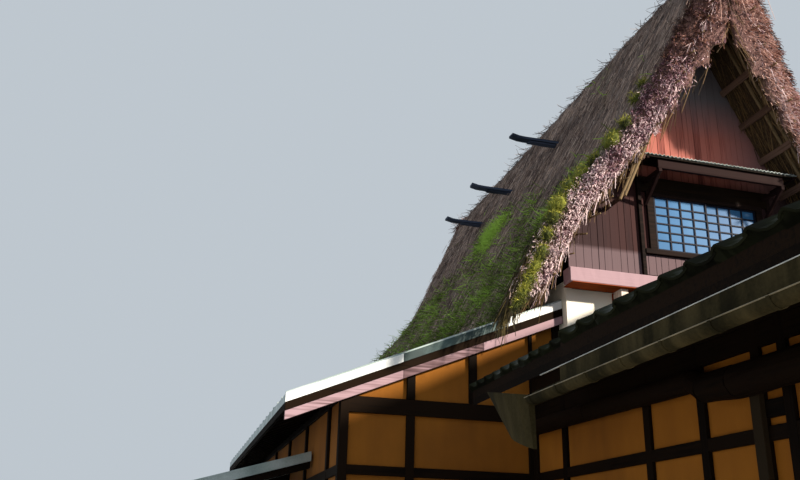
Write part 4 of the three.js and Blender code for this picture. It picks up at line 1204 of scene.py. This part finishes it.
def doors():
    # four sliding doors: boards below, bars over paper above
    frames, papers = [], []
    first, width = -7560, 643.75
    for i in range(4):
        y0, y1 = first + i * width, first + (i + 1) * width
        x0 = -2772 if i % 2 else -2756
        frames += [bar(x0, x0 + 28, near, far, low, high) for near, far, low, high in (
            (y0, y0 + 60, 255, 2298), (y1 - 60, y1, 255, 2298), (y0, y1, 255, 370), (y0, y1, 2220, 2298),
            (y0, y1, 1000, 1080))]
        frames += [bar(x0 + 8, x0 + 20, y0 + 62 + 112 * j, y0 + 170 + 112 * j, 365, 1005, 3) for j in range(5)]
        frames += [bar(x0 + 4, x0 + 16, y0 + width * j / 6 - 7, y0 + width * j / 6 + 7, 1075, 2225, 2)
                   for j in range(1, 6)]
        papers.append(bar(x0 + 16, x0 + 20, y0 + 50, y1 - 50, 1070, 2230, 0))
    framed("entrance_door_frames", frames, postTimber, ("entrance_doors",))
    framed("entrance_door_paper", papers, oiledPaper)


def dress(material, *names):
    for name in names:
        nodes[name].data.materials.clear()
        nodes[name].data.materials.append(material)


bodyFront()
rearWall()
wingWalls()
doors()
lattices = latticeWindow("y", wingNear, -1, -910, 910, 2)
for side, sign in outward.items():
    leanToWalls(side)
    for near, far in ((1290, 3190), (3310, 5210), (5330, 7230), (7350, 9355)):
        lattices += latticeWindow("x", sign * leanHalf, sign, near, far, 4)
framed("window_lattices", lattices, postTimber)
dress(creamPlaster, "main_front_wall", "main_side_wall_left", "main_side_wall_right")
dress(ochrePaintedLighter, "wing_wall_left", "wing_wall_right")
dress(ochrePlaster, "rear_wall", "wing_wall_front", "lean_to_end_wall_left", "lean_to_end_wall_right",
      "lean_to_side_wall_left", "lean_to_side_wall_right")
dress(oiledPaper, "wing_screen", "lean_to_screens_left", "lean_to_screens_right")
dress(plateTimber, "attic_floor", "ground_floor")
dress(rafterWood, "wing_rafters")
print("walls")


# Gutter of sheet copper: the solid's shell with its rolled lips, hangers, and the bright drip edge above it
gutter = {"x": -5140, "lip": 2655, "radius": 55, "near": -8350, "far": -4930, "trim": 2828, "trimFar": -5000,
          "hangers": range(-8200, -5000, 455), "strap": 58, "strapWide": 26}


def rod(start, end, radius, sides=8, taper=1.0, lumps=0.0, cuts=0):
    # a round rod between two points of the house layout
    start, end = Vector(start), Vector(end)
    mesh = bmesh.new()
    length = (end - start).length
    bmesh.ops.create_cone(mesh, segments=sides, radius1=radius, radius2=radius * taper, depth=length, cap_ends=True)
    for i in range(cuts):
        cutAcross(mesh, (0, 0, length * ((i + 1) / (cuts + 1) - 0.5)), (0, 0, 1))
    if lumps:
        for vert in mesh.verts:
            spot = Vector((vert.co.x / 60, vert.co.y / 60, vert.co.z / 260 + start.y / 500))
            vert.co.xy *= 1 + lumps * noise.noise(spot)
            vert.co.x += radius * lumps * 1.5 * noise.noise(Vector((vert.co.z / 900, start.x / 300, 5)))
    turn = (end - start).to_track_quat("Z", "Y").to_matrix()
    bmesh.ops.rotate(mesh, verts=mesh.verts, matrix=turn)
    bmesh.ops.translate(mesh, vec=(start + end) / 2, verts=mesh.verts)
    return toFrame(mesh)


def hanger(y):
    # a strap bent round below the gutter: half a ring of flat bar
    x, lip = gutter["x"], gutter["lip"]
    mesh = bmesh.new()
    made = bmesh.ops.create_grid(mesh, x_segments=1, y_segments=1, size=0.5)["verts"]
    bmesh.ops.scale(mesh, vec=(3, gutter["strapWide"], 1), verts=made)
    bmesh.ops.translate(mesh, vec=(x + gutter["strap"], y, lip), verts=made)
    bmesh.ops.spin(mesh, geom=mesh.faces[:], cent=(x, y, lip), axis=(0, 1, 0), angle=math.pi, steps=12)
    bmesh.ops.recalc_face_normals(mesh, faces=mesh.faces)
    return toFrame(mesh)


def gutterParts():
    x, lip, near, far = gutter["x"], gutter["lip"], gutter["near"], gutter["far"]
    radius, trim = gutter["radius"], gutter["trim"]
    parts = [rod((x + radius, near, lip + 2), (x + radius, far, lip + 2), 5)]
    parts += [hanger(y) for y in gutter["hangers"]]
    parts += [bar(x - 62, x + 60, y - 9, y + 9, lip + 8, lip + 14, 2) for y in gutter["hangers"]]
    rim = rod((x - radius, near, lip + 2), (x - radius, far, lip + 2), 4)
    framed("gutter_fittings", parts, oldCopper)
    framed("gutter_rim", [rim], rimCopper)
    framed("gutter_drip_edge", [bar(-5094, -5078, near, gutter["trimFar"], trim - 6, trim, 2)], brightEdge)


gutterParts()
dress(oldCopper, "wing_gutter")
print("gutter")


# Poles, logs and weathered planks
def roughPlank(x0, x1, y0, y1, z0, z1, cuts, ragged):
    # a plank with split ends and a worn outline
    mesh = cube(x0, x1, y0, y1, z0, z1, 5, cuts)
    for vert in mesh.verts:
        end = min(abs(vert.co.x - x0), abs(vert.co.x - x1))
        wear = noise.noise(Vector((vert.co.y / 35, vert.co.z / 60, x0 / 100)))
        if end < 12:
            vert.co.x += ragged * wear * (1 if vert.co.x < (x0 + x1) / 2 else -1)
        vert.co.y += 8 * noise.noise(Vector((vert.co.x / 220, vert.co.y / 200, 2)))
        vert.co.z += 5 * noise.noise(Vector((vert.co.x / 300, vert.co.y / 90, y0 / 70)))
    return mesh


def ridgePlanks():
    # three long planks whose tips turn up, each on two short ones, and the pole between them
    shapes, places = [], ((3065, 9415), (5440, 9360), (7240, 9245))
    for y, z in places:
        mesh = roughPlank(-1885, 1885, y - 90, y + 90, z - 27, z + 27, 24, 18)
        for vert in mesh.verts:
            vert.co.z += 42 * (max(0, abs(vert.co.x) - 1640) / 245) ** 2
        shapes.append(toFrame(mesh))
        shapes += [toFrame(roughPlank(side * 1180 - 330, side * 1180 + 330, y - 60, y + 70, z - 62, z - 30, 5, 30))
                   for side in (-1, 1)]
    shapes += [rod((0, *start), (0, *end), 70, 12, lumps=0.08, cuts=8) for start, end in zip(places, places[1:])]
    framed("ridge_planks", shapes, bluedPlank, ("ridge_boards",))


def under(x, below):
    # a point below the underside of the thatch, measured square to it
    return x - thatch["fall"] / steep * below, thatch["under"] - thatch["fall"] * x - below / steep


def vergePolesAndBoards(end):
    poles, boards = [], []
    for sign in (-1, 1):
        for y in (-925, -785):
            top, foot = under(60, 26), under(1835, 26)
            poles.append(rod((sign * top[0], y, top[1]), (sign * foot[0], y, foot[1]), 27, 10, 0.85, 0.1, 14))
        for z, outer in ((9000, -1110), (8400, -1052), (7800, -994), (7200, -936), (6600, -820)):
            x, height = under((thatch["under"] - z) / thatch["fall"], 63)
            mesh = roughPlank(outer, gable["face"], -55, 55, -15, 15, 6, 60)
            tilt = Matrix.Rotation(sign * math.atan(thatch["fall"]), 3, "Y")
            for vert in mesh.verts:
                vert.co = tilt @ Vector((-vert.co.y, vert.co.x, vert.co.z)) + Vector((sign * x, 0, height))
            boards.append(toFrame(mesh))
    heap(f"{end}_verge_poles", atEnd(end, toned(poles, 0.5, 0.9)), poleWood, (f"verge_poles_{end}",))
    heap(f"{end}_verge_boards", atEnd(end, toned(boards)), soffitWood)


def stickEnds():
    # rods laid in the thatch, whose cut ends stand out of the inner arris of the verge about every 300
    sticks = []
    for i in range(17):
        z = 5300 + 300 * i + chance.uniform(-60, 60)
        lean = 0.2 * max(0, 7000 - z)
        for sign in (-1, 1):
            x, height = under((thatch["under"] - z) / thatch["fall"], -45 + chance.uniform(-30, 20))
            x += lean
            y = -(480 + 0.2 * (z - 4850))
            out = chance.uniform(60, 170)
            tip = (sign * (x - chance.uniform(-20, 60)), y - out, height - chance.uniform(0, 70))
            sticks.append(rod((sign * x, y + 250, height + 30), tip, chance.uniform(11, 19), 8, 0.8, 0.15, 3))
    return toned(sticks, 0.6, 1)


def logs():
    # a crooked log, lower and thicker over the entrance, and the proud post below it
    face = -wingHalf - 0.5
    stations = [(-7500, 3040, 135), (-4500, 3030, 150), (-4020, 3055, 140), (-3780, 3165, 112), (-1600, 3200, 108),
                (250, 3215, 100)]
    parts = [rod((face - r0, y0, z0), (face - r1, y1, z1), r0, 20, r1 / r0, 0.06, 10)
             for (y0, z0, r0), (y1, z1, r1) in zip(stations, stations[1:])]
    framed("wing_logs", parts, logWood, ("wing_log_frame",))
    framed("wing_proud_post", [bar(-2880, -2821, -4635, -4504, 0, 2960, 5)], weatheredPost)


ridgePlanks()
for end in ("front", "rear"):
    vergePolesAndBoards(end)
    heap(f"{end}_stick_ends", atEnd(end, stickEnds()), poleWood)
logs()
print("poles and logs")


# Porches: members of timber and a sheet roof with seams
sidePorchRoof = {"top": 3000 + 0.293 * leanHalf, "fall": 0.293}


def porchParts():
    posts = [bar(-5010, -4890, -8260, -8140, 0, 2822, 8), bar(-7400, -7280, 2600, 2720, 0, 2320, 8),
             bar(-7400, -7280, 5130, 5250, 0, 2320, 8)]
    framed("porch_posts", posts, postTimber, ("wing_porch_frame", "side_porch_frame"))
    beams = [bar(-5000, -4900, -8300, -5340, 2700, 2842, 6), bar(-4950, -wingHalf, -7720, -7620, 2700, 2842, 6),
             bar(-7390, -7290, 2610, 5240, 2205, 2364, 6)]
    beams += [slopeBar(-7400, -leanHalf, y, y + 100, -230, -120, sidePorchRoof, 6) for y in (2610, 5140)]
    framed("porch_beams", beams, plateTimber)
    seams = [slopeBar(-7440, -5606, 2550 + 454 * i, 2572 + 454 * i, -4, 28, sidePorchRoof, 5) for i in range(7)]
    framed("side_porch_seams", seams, sheetSteel)
    dress(sheetSteel, "side_porch_roof")


def footingStones():
    # a course of split blocks in front of the footing
    outline = [(-leanHalf, wingFar), (-wingHalf, wingFar), (-wingHalf, wingNear), (wingHalf, wingNear),
               (wingHalf, wingFar), (leanHalf, wingFar), (leanHalf, gableLength), (-leanHalf, gableLength)]
    blocks = []
    for (x0, y0), (x1, y1) in zip(outline, outline[1:] + outline[:1]):
        length = math.hypot(x1 - x0, y1 - y0)
        ux, uy = (x1 - x0) / length, (y1 - y0) / length
        place = 0
        while place < length - 60:
            wide = min(chance.uniform(300, 520), length - place)
            mesh = cube(0, wide - 12, -chance.uniform(10, 24), 60, 4, 246, 14, 3)
            for vert in mesh.verts:
                vert.co += 9 * noise.noise_vector(vert.co / 110 + Vector((place / 90, x0, y0)))
            turn = Matrix(((ux, -uy, 0), (uy, ux, 0), (0, 0, 1)))
            bmesh.ops.transform(mesh, matrix=turn.to_4x4(), verts=mesh.verts)
            bmesh.ops.translate(mesh, vec=(x0 + ux * place, y0 + uy * place, 0), verts=mesh.verts)
            blocks.append(toFrame(mesh))
            place += wide
    framed("footing_stones", blocks, granite)
    dress(granite, "stone_footing")


porchParts()
footingStones()
print("porches and footing")
